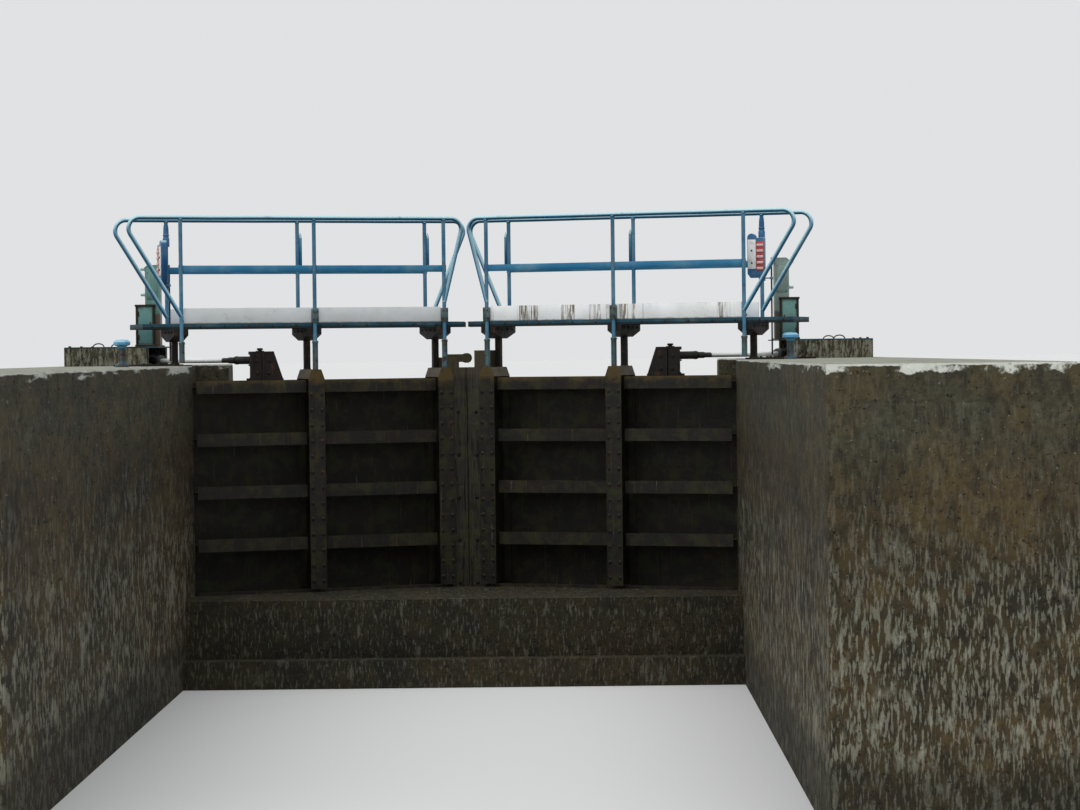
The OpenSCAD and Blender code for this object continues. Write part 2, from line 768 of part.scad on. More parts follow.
module ram_rod() {
    neck = eye_r + 31;
    color("silver") on_ram() difference() {
        union() {
            translate([0, 0, -eye_h / 2]) cylinder(h = eye_h, r = eye_r);
            translate([0, -30, -eye_h / 2]) cube([neck + 5, 60, eye_h]);
            rotate([0, 90, 0]) {
                translate([0, 0, neck]) cylinder(h = rod_end_len, r = rod_end_d / 2);
                translate([0, 0, neck + rod_end_len]) cylinder(h = 110, r = rod_d / 2 + 6);
                translate([0, 0, neck + rod_end_len])
                    cylinder(h = rod_len - neck - rod_end_len, r = rod_d / 2);
            }
        }
        translate([0, 0, -eye_h]) cylinder(h = 2 * eye_h, r = ram_pin_d / 2 + run_gap);
    }
}

module ram_cylinder() {
    color("dimgray") on_ram() translate([ram_run, 0, 0]) difference() {
        union() {
            translate([-ram_nose, 0, 0]) rotate([0, 90, 0])
                cylinder(h = ram_nose + ram_tail + 20, r = ram_d / 2);
            cube([trunnion_block, trunnion_block + 10, trunnion_block - 10], center = true);
            translate([0, 0, -trunnion_reach]) cylinder(h = 2 * trunnion_reach, r = trunnion_r);
        }
        translate([-ram_nose - over, 0, 0]) rotate([0, 90, 0])
            cylinder(h = ram_nose + ram_tail + over, r = rod_d / 2 + run_gap);
    }
}

wall();  // left_wall
right_side() wall();  // right_wall
coping();  // left_coping
right_side() coping();  // right_coping
sill();
pintles();
anchor();  // left_anchor
right_side() anchor();  // right_anchor
ram_plinth();  // left_ram_plinth
right_side() ram_plinth();  // right_ram_plinth
ram_cover();  // left_ram_cover
right_side() ram_cover();  // right_ram_cover
drive_cabinet(left_cabinet_back);  // left_drive_cabinet
right_side() drive_cabinet(right_cabinet_back);  // right_drive_cabinet
bollards();
heel_post();  // left_heel_post
left_mitre_post();
girders();  // left_girders
frames();  // left_frames
skin();  // left_skin
paddle();  // left_paddle
deck_supports();  // left_deck_supports
deck(left_deck_tail);  // left_deck
toe_boards("silver");  // left_toe_boards
near_railing();  // left_near_railing
far_railing();  // left_far_railing
paddle_gear(left_gear_turn);  // left_paddle_gear
ram_lug();  // left_ram_lug
ram_rod();  // left_ram_rod
ram_cylinder();  // left_ram_cylinder
right_side() heel_post();  // right_heel_post
right_side() mitre_post(right_mitre_rise);  // right_mitre_post
right_side() girders();  // right_girders
right_side() frames();  // right_frames
right_side() skin();  // right_skin
right_side() paddle();  // right_paddle
right_side() deck_supports();  // right_deck_supports
right_side() deck(right_deck_tail);  // right_deck
right_side() toe_boards("white");  // right_toe_boards
right_side() near_railing();  // right_near_railing
right_side() far_railing();  // right_far_railing
right_side() paddle_gear(0);  // right_paddle_gear
right_side() ram_lug();  // right_ram_lug
right_side() ram_rod();  // right_ram_rod
right_side() ram_cylinder();  // right_ram_cylinder
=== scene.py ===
"""Looks of a pair of canal lock mitre gates: fine pieces and weathered finishes.

All lengths are metres in the model's own frame: X across the chamber, +Y upstream, +Z up,
with the origin on the centre line, in line with the heel axes, at the foot of the walls.
"""

import json
import math

import bpy
import numpy as np
from bpy.props import FloatProperty, FloatVectorProperty, PointerProperty
from mathutils import Matrix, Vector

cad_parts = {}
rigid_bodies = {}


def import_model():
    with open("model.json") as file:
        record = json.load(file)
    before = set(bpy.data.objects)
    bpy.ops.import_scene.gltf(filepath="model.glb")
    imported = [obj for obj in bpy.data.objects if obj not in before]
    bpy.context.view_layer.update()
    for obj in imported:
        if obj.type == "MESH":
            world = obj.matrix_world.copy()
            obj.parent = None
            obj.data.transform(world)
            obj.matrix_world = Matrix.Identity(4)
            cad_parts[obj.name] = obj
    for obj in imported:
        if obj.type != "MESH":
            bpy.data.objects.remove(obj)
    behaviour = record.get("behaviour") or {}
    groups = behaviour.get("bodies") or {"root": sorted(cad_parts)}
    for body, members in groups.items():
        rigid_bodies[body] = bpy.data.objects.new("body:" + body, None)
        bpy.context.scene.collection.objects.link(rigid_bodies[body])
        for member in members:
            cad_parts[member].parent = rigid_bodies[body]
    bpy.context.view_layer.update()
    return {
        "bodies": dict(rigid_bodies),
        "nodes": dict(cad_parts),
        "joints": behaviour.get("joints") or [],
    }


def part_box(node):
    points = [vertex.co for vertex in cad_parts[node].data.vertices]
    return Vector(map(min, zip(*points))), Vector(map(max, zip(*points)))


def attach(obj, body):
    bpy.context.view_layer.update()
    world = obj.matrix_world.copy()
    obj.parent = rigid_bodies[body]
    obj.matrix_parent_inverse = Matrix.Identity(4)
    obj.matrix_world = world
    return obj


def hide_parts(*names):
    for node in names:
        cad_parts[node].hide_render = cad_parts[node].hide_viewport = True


bl_info = {
    "name": "Lock gate looks",
    "version": (1, 0, 0),
    "blender": (4, 5, 0),
    "location": "View3D > Sidebar > Lock gate",
    "description": "Railings, boards, gears, cabinets, fastenings and finishes of a lock gate",
    "category": "Add Mesh",
}

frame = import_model()

# Left and right halves are mirror images about the chamber's centre plane
SIDES = {"left": 1, "right": -1}

# Places that are read from the model
HEEL_X = next(j["pos_m"][0] for j in frame["joints"] if j["name"] == "right_leaf_swing")
COPING_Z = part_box("left_coping")[1].z
COPING_FOOT_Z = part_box("left_coping")[0].z
DECK_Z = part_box("left_deck")[1].z
DECK_FOOT_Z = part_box("left_deck")[0].z
LEAF_FOOT_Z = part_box("left_skin")[0].z
LEAF_TOP_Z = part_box("left_skin")[1].z
FRAME_TOP_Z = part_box("left_frames")[1].z
BANK_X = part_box("left_coping")[0].x
DOWN_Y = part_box("left_coping")[0].y
UP_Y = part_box("left_coping")[1].y
CHAMBER_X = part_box("right_wall")[0].x
COVER_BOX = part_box("left_ram_cover")

# Rim of the cabinets past their panels, and the fine gap between pieces that seem to touch
CABINET_RIM = 0.008
SEAM = 0.0003

# Bank sides that differ between left and right, as places on the left
CABINET_BACK = {"left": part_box("left_drive_cabinet")[0].x + CABINET_RIM,
                "right": -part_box("right_drive_cabinet")[1].x + CABINET_RIM}
DECK_END = {"left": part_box("left_deck")[0].x, "right": -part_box("right_deck")[1].x}

# Angle between faces from which an edge is drawn sharp, and the size of a chequer plate's lozenge
SHARP_ANGLE = math.radians(40)
LOZENGE = (0.0135, 0.0042, 0.0018)

# Directions in which fastenings stand
UP = (0.0, 0.0, 1.0)
DOWNSTREAM = (0.0, -1.0, 0.0)


def srgb(red, green, blue):
    """Linear colour of an sRGB triple in 0 to 255: ((c / 255 + 0.055) / 1.055) ** 2.4."""
    triple = np.array([red, green, blue]) / 255
    linear = np.where(triple <= 0.04045, triple / 12.92, ((triple + 0.055) / 1.055) ** 2.4)
    return (*linear.tolist(), 1.0)


def length(label, text, value):
    return FloatProperty(name=label, description=text, default=value, unit="LENGTH", precision=4)


def angle(label, text, degrees):
    return FloatProperty(name=label, description=text, default=math.radians(degrees), unit="ROTATION")


def colour(label, text, *triple):
    return FloatVectorProperty(name=label, description=text, default=srgb(*triple),
                               subtype="COLOR", size=4, min=0.0, max=1.0)


class GateSizes(bpy.types.PropertyGroup):
    """Sizes of the gate's fine pieces."""

    mitre_angle: angle("Mitre angle", "Angle of each closed leaf to the line across the chamber", 20)
    end_bay: length("End bay", "From the last walkway support to the centre line, along the leaf", 0.334)
    rail_span: length("Railing span", "Between the centre lines of the two railings", 0.620)
    rail_rise: length("Rail height", "Top rail's centre line above the deck", 1.010)
    tube_r: length("Tube radius", "Radius of the bent railing tubes", 0.021)
    post_r: length("Post radius", "Radius of the railing posts", 0.019)
    mid_rise: length("Mid rail height", "Centre of the flat mid rail above the deck", 0.520)
    mid_h: length("Mid rail depth", "Height of the flat mid rail", 0.066)
    mid_t: length("Mid rail thickness", "Thickness of the flat mid rail", 0.008)
    bend_r: length("Bend radius", "Radius of the railing corners", 0.105)
    heel_reach: length("Heel reach", "Reach of the sloping heel end past the heel posts", 0.580)
    near_lean: angle("Near lean", "Lean of the near railing's mitre end", 14.5)
    far_lean: angle("Far lean", "Lean of the far railing's mitre end", 22.5)
    rail_gap: length("Rail gap", "From the railing ends to the centre line", 0.016)
    foot_r: length("Foot radius", "Radius of the near posts' thicker feet", 0.027)
    foot_drop: length("Foot drop", "From the deck's edge down to the thicker feet", 0.120)
    clamp_w: length("Clamp width", "Width of the clamps on the near posts", 0.066)
    clamp_h: length("Clamp height", "Height of the clamps above the deck", 0.136)
    sleeve_r: length("Sleeve radius", "Radius of the short sleeves beside the far posts", 0.015)
    sleeve_h: length("Sleeve length", "Length of the short sleeves beside the far posts", 0.330)
    toe_h: length("Toe board height", "Height of the toe boards", 0.150)
    toe_t: length("Toe board thickness", "Thickness of the toe boards", 0.018)
    toe_bow: length("Toe board bow", "How far the toe boards bow inward", 0.004)
    prop_w: length("Prop width", "Side of the square posts under the walkway", 0.056)
    gear_turn: angle("Left gear turn", "Turn of the left hand gear about its post", -90)
    gear_rise: length("Gear place", "From the deck up to the hand gears", 0.412)
    gear_w: length("Gear width", "Width of the hand gears' housings", 0.170)
    gear_d: length("Gear depth", "Depth of the hand gears' housings", 0.058)
    gear_h: length("Gear height", "Height of the hand gears' housings below the arch", 0.360)
    cabinet_w: length("Cabinet width", "Width of the drive cabinets", 0.193)
    cabinet_d: length("Cabinet depth", "Depth of the drive cabinets", 0.240)
    cabinet_h: length("Cabinet height", "Height of the cabinets' lower boxes", 0.430)
    hood_w: length("Hood width", "Width of the cabinets' hoods", 0.148)
    hood_h: length("Hood height", "Height of the cabinets' hoods", 0.400)
    frame_w: length("Frame width", "Width of the vertical frames", 0.160)
    frame_front: length("Frame front", "From the leaf's centre plane to the frames' front", 0.345)
    skin_back: length("Skin back", "From the leaf's centre plane to the back of the skin plate", 0.100)
    mitre_front: length("Mitre front", "From the leaf's centre plane to the mitre post's front", 0.200)
    lug_x: length("Ram pin place", "From the heel axis to the ram's pin, along the leaf", 0.840)
    ram_rise: length("Ram height", "Ram's centre line above the coping", 0.045)
    ram_back: length("Ram back", "From the heel axis back to the ram's bank end", 0.524)
    ram_up: length("Ram up", "From the heel axis upstream to the ram's bank end", 1.800)
    lug_heel: length("Lug reach", "From the ram's pin to the heel side of the lug's base", 0.115)
    ram_nose: length("Cylinder nose", "From the ram's bank end to the cylinder's nose", 0.280)
    rod_start: length("Rod start", "From the ram's pin to where the rod's thick end stops", 0.405)
    rod_bright: length("Bright rod", "From the ram's pin to where the rod's bright plating begins", 0.620)
    bolt_r: length("Bolt radius", "Across the corners of a common bolt head, halved", 0.014)
    bolt_pitch: length("Bolt pitch", "Spacing of the bolts on the frames", 0.150)
    coach_pitch: length("Coach bolt pitch", "Spacing of the bolts on the mitre posts", 0.42)
    skin_pitch: length("Skin bolt pitch", "Spacing of the bolts along the skin plates", 0.16)
    toe_pitch: length("Toe bolt pitch", "Spacing of the bolts along the toe boards", 0.26)
    deck_pitch: length("Deck bolt pitch", "Spacing of the bolts along the decks' edges", 0.235)
    quoin_r: length("Quoin radius", "Radius of the hollow in the coping round the heel post", 0.118)
    recess_gap: length("Recess gap", "From the open leaf's skin plate to the wall behind it", 0.064)
    pit_reach: length("Pit reach", "From the ram's bank end to the pit's bank side", 0.620)
    pit_down: length("Pit start", "From the ram's bank end to the pit's downstream side", 0.380)
    pit_up: length("Pit end", "From the ram's bank end to the pit's upstream side", 0.920)
    shelf_drop: length("Coping lip", "Depth of the coping's top course, which the pits cut into", 0.100)
    chip_depth: length("Coping chips", "Greatest depth of the chips in the coping's edge", 0.026)


class GateColours(bpy.types.PropertyGroup):
    """Colours of the gate's finishes."""

    rail_blue: colour("Rail blue", "Paint of the railings", 17, 110, 152)
    # Faded blue is also laid on the railings' upward faces as a painted highlight of the sky on gloss paint
    rail_pale: colour("Faded blue", "Railing paint where the sky has bleached it", 174, 209, 215)
    post_blue: colour("Post blue", "Greyer paint of the railing posts", 42, 104, 138)
    deck_blue: colour("Deck blue", "Paint of the deck's edge", 36, 78, 94)
    gear_blue: colour("Gear blue", "Paint of the paddle gears", 22, 86, 132)
    bollard_blue: colour("Bollard blue", "Paint of the bollard caps", 74, 160, 208)
    board_grey: colour("Board grey", "Left toe boards", 214, 218, 221)
    board_white: colour("Board white", "Right toe boards", 246, 248, 248)
    enamel_white: colour("Plate white", "Cover plates of the paddle gears", 226, 226, 224)
    enamel_red: colour("Rack red", "Racks of the paddle gears", 176, 48, 44)
    # The teeth's pale pink is a painted highlight, for light catching the tops of the racks' teeth
    enamel_pink: colour("Tooth pink", "Worn tops of the racks' teeth", 226, 168, 162)
    cabinet_green: colour("Cabinet green", "Panels of the drive cabinets", 84, 132, 128)
    cabinet_grey: colour("Cabinet grey", "Faded hood of the right cabinet", 118, 132, 128)
    cabinet_pale: colour("Cabinet pale", "Bleached paint of the drive cabinets", 150, 184, 172)
    rust: colour("Rust", "Rust that shows through paint", 92, 54, 34)
    rust_dark: colour("Dark rust", "Old rust of the supports and lugs", 36, 30, 27)
    rust_stain: colour("Rust stain", "Runs of rusty water", 112, 86, 46)
    wet_steel: colour("Leaf steel", "Coated steel of the leaves", 27, 27, 25)
    moss: colour("Moss", "Moss and algae", 58, 60, 30)
    weed: colour("Weed", "Brown growth on the tops of the leaves", 80, 66, 36)
    timber: colour("Timber", "Wet timber of the mitre posts", 52, 44, 34)
    wall_dark: colour("Wall dark", "Damp concrete of the walls", 40, 38, 30)
    wall_brown: colour("Wall brown", "Brown stain on the walls", 76, 64, 43)
    wall_olive: colour("Wall olive", "Smooth concrete under the coping", 67, 67, 54)
    wall_pale: colour("Wall pale", "Lime runs and scaled patches of the walls", 146, 146, 130)
    wall_stain: colour("Wall stain", "Brown runs on the walls", 94, 78, 46)
    coping: colour("Coping", "Worn tops of the walls and plinths", 152, 154, 142)
    lime: colour("Lime", "Fresh broken edges of the copings", 214, 216, 206)
    # Near-white rod colour, laid mostly as diffuse colour: the plating's brightness and a painted
    # reflection of the pale sky
    chrome: colour("Rod", "Polished rods of the rams", 250, 251, 249)
    ram_grey: colour("Ram grey", "Paint of the ram cylinders", 72, 76, 76)
    floor: colour("Floor", "Floor of the stage", 211, 211, 210)
    backdrop: colour("Backdrop", "Backdrop of the stage", 229, 230, 231)


class StageValues(bpy.types.PropertyGroup):
    """Camera and lamps."""

    camera_x: length("Camera X", "Camera's place across the chamber", 0.9465)
    camera_back: length("Camera distance", "Camera's distance downstream of the heel axes", 29.07)
    camera_z: length("Camera height", "Camera's height above the foot of the walls", 3.110)
    pitch: angle("Pitch", "How far the camera looks down", 1.035)
    yaw: angle("Yaw", "How far the camera is turned to the left", 0.442)
    roll: angle("Roll", "How far the camera leans clockwise", 0.67)
    lens: FloatProperty(name="Lens", description="Focal length on a 36 mm wide sensor", default=101.1)
    sky: FloatProperty(name="Sky", description="Strength of the even light from all round", default=0.50)
    key: FloatProperty(name="Key", description="Strength of the soft light from above", default=1.9)
    fill: FloatProperty(name="Fill", description="Strength of the soft light from the front", default=0.6)


# Shapes. A shape is a pair: an array of points and a list of faces that point outward.


def ring_faces(rings, sides):
    """Quads between neighbouring closed rings of points, with one face over each end."""
    start = np.arange(rings - 1)[:, None] * sides
    here = start + np.arange(sides)[None, :]
    beside = start + (np.arange(sides)[None, :] + 1) % sides
    quads = np.stack([here, beside, beside + sides, here + sides], -1).reshape(-1, 4)
    last = (rings - 1) * sides + np.arange(sides)
    return quads.tolist() + [np.arange(sides)[::-1].tolist(), last.tolist()]


def carried(centres, first, second, radii, sides):
    """Round section along a path: p(i, t) = c(i) + r(i) (cos t u(i) + sin t v(i))."""
    turn = np.linspace(0, 2 * np.pi, sides, endpoint=False)[None, :, None]
    ring = np.cos(turn) * first[:, None, :] + np.sin(turn) * second[:, None, :]
    points = centres[:, None, :] + np.asarray(radii)[:, None, None] * ring
    return points.reshape(-1, 3), ring_faces(len(centres), sides)


def tube(path, radius, sides):
    """Tube along a path that keeps close to a plane y = constant: u = the Y axis, v = tangent x u."""
    tangent = np.gradient(path, axis=0)
    tangent /= np.linalg.norm(tangent, axis=1)[:, None]
    first = np.broadcast_to(np.array([0.0, 1.0, 0.0]), path.shape)
    second = np.cross(tangent, first)
    second /= np.linalg.norm(second, axis=1)[:, None]
    return carried(path, first, second, np.full(len(path), radius), sides)


def turned(profile, foot=(0.0, 0.0, 0.0), along=UP, sides=24):
    """Lathe work: each (height, radius) pair is one ring, at foot + height x along."""
    profile = np.asarray(profile, float)
    along = np.asarray(along, float)
    helper = np.array([1.0, 0.0, 0.0]) if abs(along[0]) < 0.9 else np.array([0.0, 1.0, 0.0])
    first = np.cross(along, helper)
    first /= np.linalg.norm(first)
    second = np.cross(along, first)
    centres = np.asarray(foot, float) + profile[:, :1] * along
    spread = np.ones((len(profile), 1))
    return carried(centres, spread * first, spread * second, profile[:, 1], sides)


def smooth_profile(corners, steps=4):
    """Profile whose pairs are joined by cosine curves: v = a + (b - a)(1 - cos(pi t)) / 2."""
    corners = np.asarray(corners, float)
    t = np.linspace(0, 1, steps, endpoint=False)
    ease = (1 - np.cos(np.pi * t)) / 2
    height = corners[:-1, :1] + (corners[1:, :1] - corners[:-1, :1]) * t
    radius = corners[:-1, 1:] + (corners[1:, 1:] - corners[:-1, 1:]) * ease
    pairs = np.stack([height.ravel(), radius.ravel()], -1)
    return np.vstack([pairs, corners[-1:]])


def inset(outline, amount):
    """Each point moves in by `amount` along the mean of its two edge normals over 1 + n0.n1."""
    outline = np.asarray(outline, float)
    edge = np.roll(outline, -1, 0) - outline
    edge /= np.linalg.norm(edge, axis=1)[:, None]
    after = np.stack([edge[:, 1], -edge[:, 0]], -1)
    before = np.roll(after, 1, 0)
    spread = (before + after) / (1 + np.sum(before * after, 1))[:, None]
    return outline - np.asarray(amount).reshape(-1, 1) * spread


def rounded(corners, radius, steps):
    """Outline with each corner replaced by an arc of the radius, tangent to its two edges."""
    corners = np.asarray(corners, float)
    arcs = []
    for before, corner, after in zip(np.roll(corners, 1, 0), corners, np.roll(corners, -1, 0)):
        back = (before - corner) / np.linalg.norm(before - corner)
        ahead = (after - corner) / np.linalg.norm(after - corner)
        half = np.arccos(np.clip(back @ ahead, -1, 1)) / 2
        middle = (back + ahead) / np.linalg.norm(back + ahead)
        centre = corner + middle * radius / np.sin(half)
        begin = corner + back * radius / np.tan(half) - centre
        end = corner + ahead * radius / np.tan(half) - centre
        sweep = np.arctan2(begin[0] * end[1] - begin[1] * end[0], begin @ end)
        t = sweep * np.linspace(0, 1, steps + 1)
        arcs.append(centre + np.stack([begin[0] * np.cos(t) - begin[1] * np.sin(t),
                                       begin[0] * np.sin(t) + begin[1] * np.cos(t)], -1))
    return np.vstack(arcs)


def box_outline(x0, x1, y0, y1, radius, steps=2):
    return rounded([[x0, y0], [x1, y0], [x1, y1], [x0, y1]], radius, steps)


def slab(outline, z0, z1, edge, steps=2):
    """Outline carried up from z0 to z1, drawn in by edge (1 - sin a) at edge (1 - cos a) from each end."""
    turn = np.linspace(0, np.pi / 2, steps + 1)
    rise = edge * (1 - np.cos(turn))
    draw = edge * (1 - np.sin(turn))
    levels = np.concatenate([z0 + rise, (z1 - rise)[::-1]])
    insets = np.concatenate([draw, draw[::-1]])
    rings = [np.column_stack([inset(outline, d), np.full(len(outline), z)]) for z, d in zip(levels, insets)]
    return np.vstack(rings), ring_faces(len(rings), len(outline))


def block(low, high, edge=0.003):
    """Box with rounded edges between two corners."""
    outline = box_outline(low[0], high[0], low[1], high[1], edge)
    return slab(outline, low[2], high[2], edge)


def upright(outline, back, depth, edge, steps=2):
    """Outline drawn in X and Z, carried from y = back toward -Y: (x, y, z) goes to (x, back - z, y)."""
    points, faces = slab(outline, 0, depth, edge, steps)
    return np.stack([points[:, 0], back - points[:, 2], points[:, 1]], -1), faces


def laid_along(shape):
    """Shape turned so that its up becomes along +X: (x, y, z) goes to (z, x, y)."""
    points, faces = shape
    return points[:, [2, 0, 1]], faces


def moved(shape, x=0.0, y=0.0, z=0.0, turn=0.0):
    """Shape turned about Z, then shifted."""
    points, faces = shape
    c, s = math.cos(turn), math.sin(turn)
    px, py, pz = points.T
    return np.stack([c * px - s * py, s * px + c * py, pz], -1) + np.array([x, y, z]), faces


def placed(parts, x=0.0, y=0.0, z=0.0, turn=0.0):
    """(shape, finish) pairs with every shape moved."""
    return [(moved(shape, x, y, z, turn), finish) for shape, finish in parts]


def repeated(shape, places):
    """Copies of a shape with their origins at the rows of `places`."""
    points, faces = shape
    places = np.asarray(places, float).reshape(-1, 3)
    copies = (places[:, None, :] + points[None]).reshape(-1, 3)
    many = [[i + n * len(points) for i in face] for n in range(len(places)) for face in faces]
    return copies, many


def set_out(shape, side, origin=(0.0, 0.0, 0.0), turn=0.0):
    """Shape in a left-hand piece's own axes, put in the model's frame, mirrored for the right side."""
    points, faces = moved(shape, *origin, turn=turn)
    if side > 0:
        return points, faces
    return points * np.array([-1.0, 1.0, 1.0]), [face[::-1] for face in faces]


def on_leaf(s, shape, side):
    return set_out(shape, side, (-HEEL_X, 0.0, 0.0), s.mitre_angle)


def ram_seat(s):
    """Pin's place, and the turn and length of the line from it to the ram's bank end."""
    pin = np.array([-HEEL_X + s.lug_x * math.cos(s.mitre_angle), s.lug_x * math.sin(s.mitre_angle)])
    bank = np.array([-HEEL_X - s.ram_back, s.ram_up])
    run = bank - pin
    return (pin[0], pin[1], COPING_Z + s.ram_rise), math.atan2(run[1], run[0]), float(np.hypot(*run))


def on_ram(s, shape, side):
    origin, turn, _ = ram_seat(s)
    return set_out(shape, side, origin, turn)


def post_pitch(s):
    """Spacing of the three walkway supports along the leaf, from the heel axis on."""
    return (HEEL_X / math.cos(s.mitre_angle) - s.end_bay) / 2


def mitre_at(s, d, gap):
    """Distance along a leaf, d downstream of its plane, to where the centre line is only `gap` away."""
    return (HEEL_X - gap - d * math.sin(s.mitre_angle)) / math.cos(s.mitre_angle)


def resampled(line, step):
    """Points no more than `step` apart on the lines between the given ones, and how far along they are."""
    run = np.concatenate([[0], np.cumsum(np.hypot(*np.diff(line, axis=0).T))])
    even = np.union1d(run, np.arange(0, run[-1], step))
    return np.stack([np.interp(even, run, values) for values in line.T], -1), even


def ripple(along, seed, waves, shortest, longest):
    """Sum of sine waves of seeded lengths and phases, scaled to stay between -1 and 1."""
    chance = np.random.default_rng(seed)
    lengths = np.exp(chance.uniform(math.log(shortest), math.log(longest), waves))
    phases = chance.uniform(0, 2 * np.pi, waves)
    weights = lengths ** 0.5
    total = np.sum(weights * np.sin(2 * np.pi * np.asarray(along)[:, None] / lengths + phases), 1)
    return total / weights.sum()


def bolt_head(s, towards, washer=True):
    """Hexagonal head with a rounded crown on a round washer, standing towards a direction."""
    r = s.bolt_r
    head = turned([(0.18 * r, r), (0.75 * r, r), (0.95 * r, 0.8 * r)], along=towards, sides=6)
    if not washer:
        return head
    disc = turned([(0, 1.35 * r), (0.12 * r, 1.4 * r), (0.2 * r, 1.3 * r)], along=towards, sides=12)
    return joined([head, disc])


def bolts(s, towards, places):
    """(shape, finish) pair of common bolt heads with washers at the places."""
    return repeated(bolt_head(s, towards), places), "dark_rust"


def small_bolts(r, towards, places):
    """(shape, finish) pair of small hexagonal heads without washers at the places."""
    head = turned([(0, r), (0.6 * r, r), (0.8 * r, 0.75 * r)], along=towards, sides=6)
    return repeated(head, places), "dark_rust"


def circle(count, radius, height):
    """Places round the axis of Z at a height: (r cos t, r sin t, h)."""
    turn = np.arange(count) * 2 * np.pi / count
    return np.stack([radius * np.cos(turn), radius * np.sin(turn), np.full(count, height)], -1)


def joined(shapes):
    """Several shapes as one."""
    points = []
    faces = []
    count = 0
    for more_points, more_faces in shapes:
        faces += [[i + count for i in face] for face in more_faces]
        points.append(more_points)
        count += len(more_points)
    return np.vstack(points), faces


def make_piece(name, parts, body, hides):
    """One object from (shape, finish) pairs, riding on a body and standing for the hidden nodes."""
    points, faces = joined([shape for shape, _ in parts])
    finishes = list(dict.fromkeys(finish for _, finish in parts))
    mesh = bpy.data.meshes.new(name)
    mesh.from_pydata(points.tolist(), [], faces)
    for finish in finishes:
        mesh.materials.append(finish_named(finish))
    index = np.concatenate([np.full(len(shape[1]), finishes.index(finish)) for shape, finish in parts])
    mesh.polygons.foreach_set("material_index", index.astype(np.int32))
    mesh.polygons.foreach_set("use_smooth", np.ones(len(faces), bool))
    mesh.set_sharp_from_angle(angle=SHARP_ANGLE)
    mesh.update()
    item = bpy.data.objects.new(name, mesh)
    bpy.context.scene.collection.objects.link(item)
    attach(item, body)
    if hides:
        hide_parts(*hides)


# Materials. Shared effects are node groups; each material places them with its own values.

# Dark inks: near black, painted shade for what faces down, dirt, dust, runs, painted shade of holes, damp,
# grain and splits
NEAR_BLACK = (0.012, 0.012, 0.011, 1.0)
SHADE = (0.010, 0.016, 0.020, 1.0)
GRIME = (0.035, 0.038, 0.030, 1.0)
DUST = (0.10, 0.095, 0.080, 1.0)
BLACK_RUN = (0.014, 0.012, 0.010, 1.0)
HOLE_SHADE = (0.010, 0.009, 0.008, 1.0)
DAMP = (0.010, 0.011, 0.008, 1.0)
DARK_GRAIN = (0.012, 0.010, 0.008, 1.0)
SPLIT = (0.004, 0.004, 0.003, 1.0)


def put(tree, kind, settings=None, **sockets):
    """One node, with its settings, and each named input set to a value or linked to a socket."""
    node = tree.nodes.new(kind)
    for key, value in (settings or {}).items():
        setattr(node, key, value)
    for key, value in sockets.items():
        feed(tree, node.inputs[key.replace("_", " ")], value)
    return node


def feed(tree, socket, value):
    if isinstance(value, bpy.types.NodeSocket):
        tree.links.new(value, socket)
    else:
        socket.default_value = value


def worked(tree, kind, operation, first, second):
    """Outputs of a maths or vector maths node."""
    node = put(tree, kind, {"operation": operation})
    feed(tree, node.inputs[0], first)
    feed(tree, node.inputs[1], second)
    return node.outputs


def maths(tree, operation, first, second):
    return worked(tree, "ShaderNodeMath", operation, first, second)[0]


def product(tree, first, second):
    return maths(tree, "MULTIPLY", first, second)


def dot_product(tree, first, second):
    return worked(tree, "ShaderNodeVectorMath", "DOT_PRODUCT", first, second)["Value"]


def stepped(tree, value, low, high, to_low=0.0, to_high=1.0):
    """Smooth step of a value from `low` to `high`."""
    return put(tree, "ShaderNodeMapRange", {"interpolation_type": "SMOOTHSTEP"}, Value=value,
               From_Min=low, From_Max=high, To_Min=to_low, To_Max=to_high).outputs[0]


def layered(tree, mask, under, over, share=1.0):
    """Colour `over` laid on `under` as far as the mask times the share."""
    node = put(tree, "ShaderNodeMix", {"data_type": "RGBA"})
    feed(tree, node.inputs[0], mask if share == 1.0 else product(tree, mask, share))
    feed(tree, node.inputs[6], under)
    feed(tree, node.inputs[7], over)
    return node.outputs[2]


def noise(tree, vector, scale, detail=5.0, roughness=0.6):
    return put(tree, "ShaderNodeTexNoise", Vector=vector, Scale=scale, Detail=detail,
               Roughness=roughness).outputs[0]


def cut(tree, cloud, cover, softness):
    """Smooth step of a noise, from the softness below the level 1 - cover to as much above it."""
    level = maths(tree, "SUBTRACT", 1.0, cover)
    low = maths(tree, "SUBTRACT", level, softness)
    return stepped(tree, cloud, low, maths(tree, "ADD", level, softness))


def normal_z(tree):
    normal = tree.nodes.new("ShaderNodeNewGeometry").outputs["Normal"]
    return put(tree, "ShaderNodeSeparateXYZ", Vector=normal).outputs[2]


def patches(tree, given):
    """Mask: smooth step of a cloudy noise about the level 1 - cover."""
    cloud = noise(tree, given["Vector"], given["Scale"], 7.0, 0.62)
    return cut(tree, cloud, given["Cover"], given["Softness"])


def runs_of_water(tree, given):
    """Mask of runs of water: noise whose height is drawn out, cut at the level 1 - cover."""
    size = put(tree, "ShaderNodeCombineXYZ", X=given["Width"], Y=given["Width"], Z=given["Length"])
    drawn = worked(tree, "ShaderNodeVectorMath", "DIVIDE", given["Vector"], size.outputs[0])[0]
    return cut(tree, noise(tree, drawn, 1.0, 4.0, 0.55), given["Cover"], given["Softness"])


def height_band(tree, given):
    """Mask: 0 below the height, rising to 1 over the depth above it, with a wavering line."""
    height = put(tree, "ShaderNodeSeparateXYZ", Vector=given["Vector"]).outputs[2]
    cloud = noise(tree, given["Vector"], given["Scale"], 6.0, 0.65)
    shift = product(tree, maths(tree, "SUBTRACT", cloud, 0.5), product(tree, given["Waver"], 4.0))
    top = maths(tree, "ADD", given["Height"], given["Depth"])
    return stepped(tree, maths(tree, "ADD", height, shift), given["Height"], top)


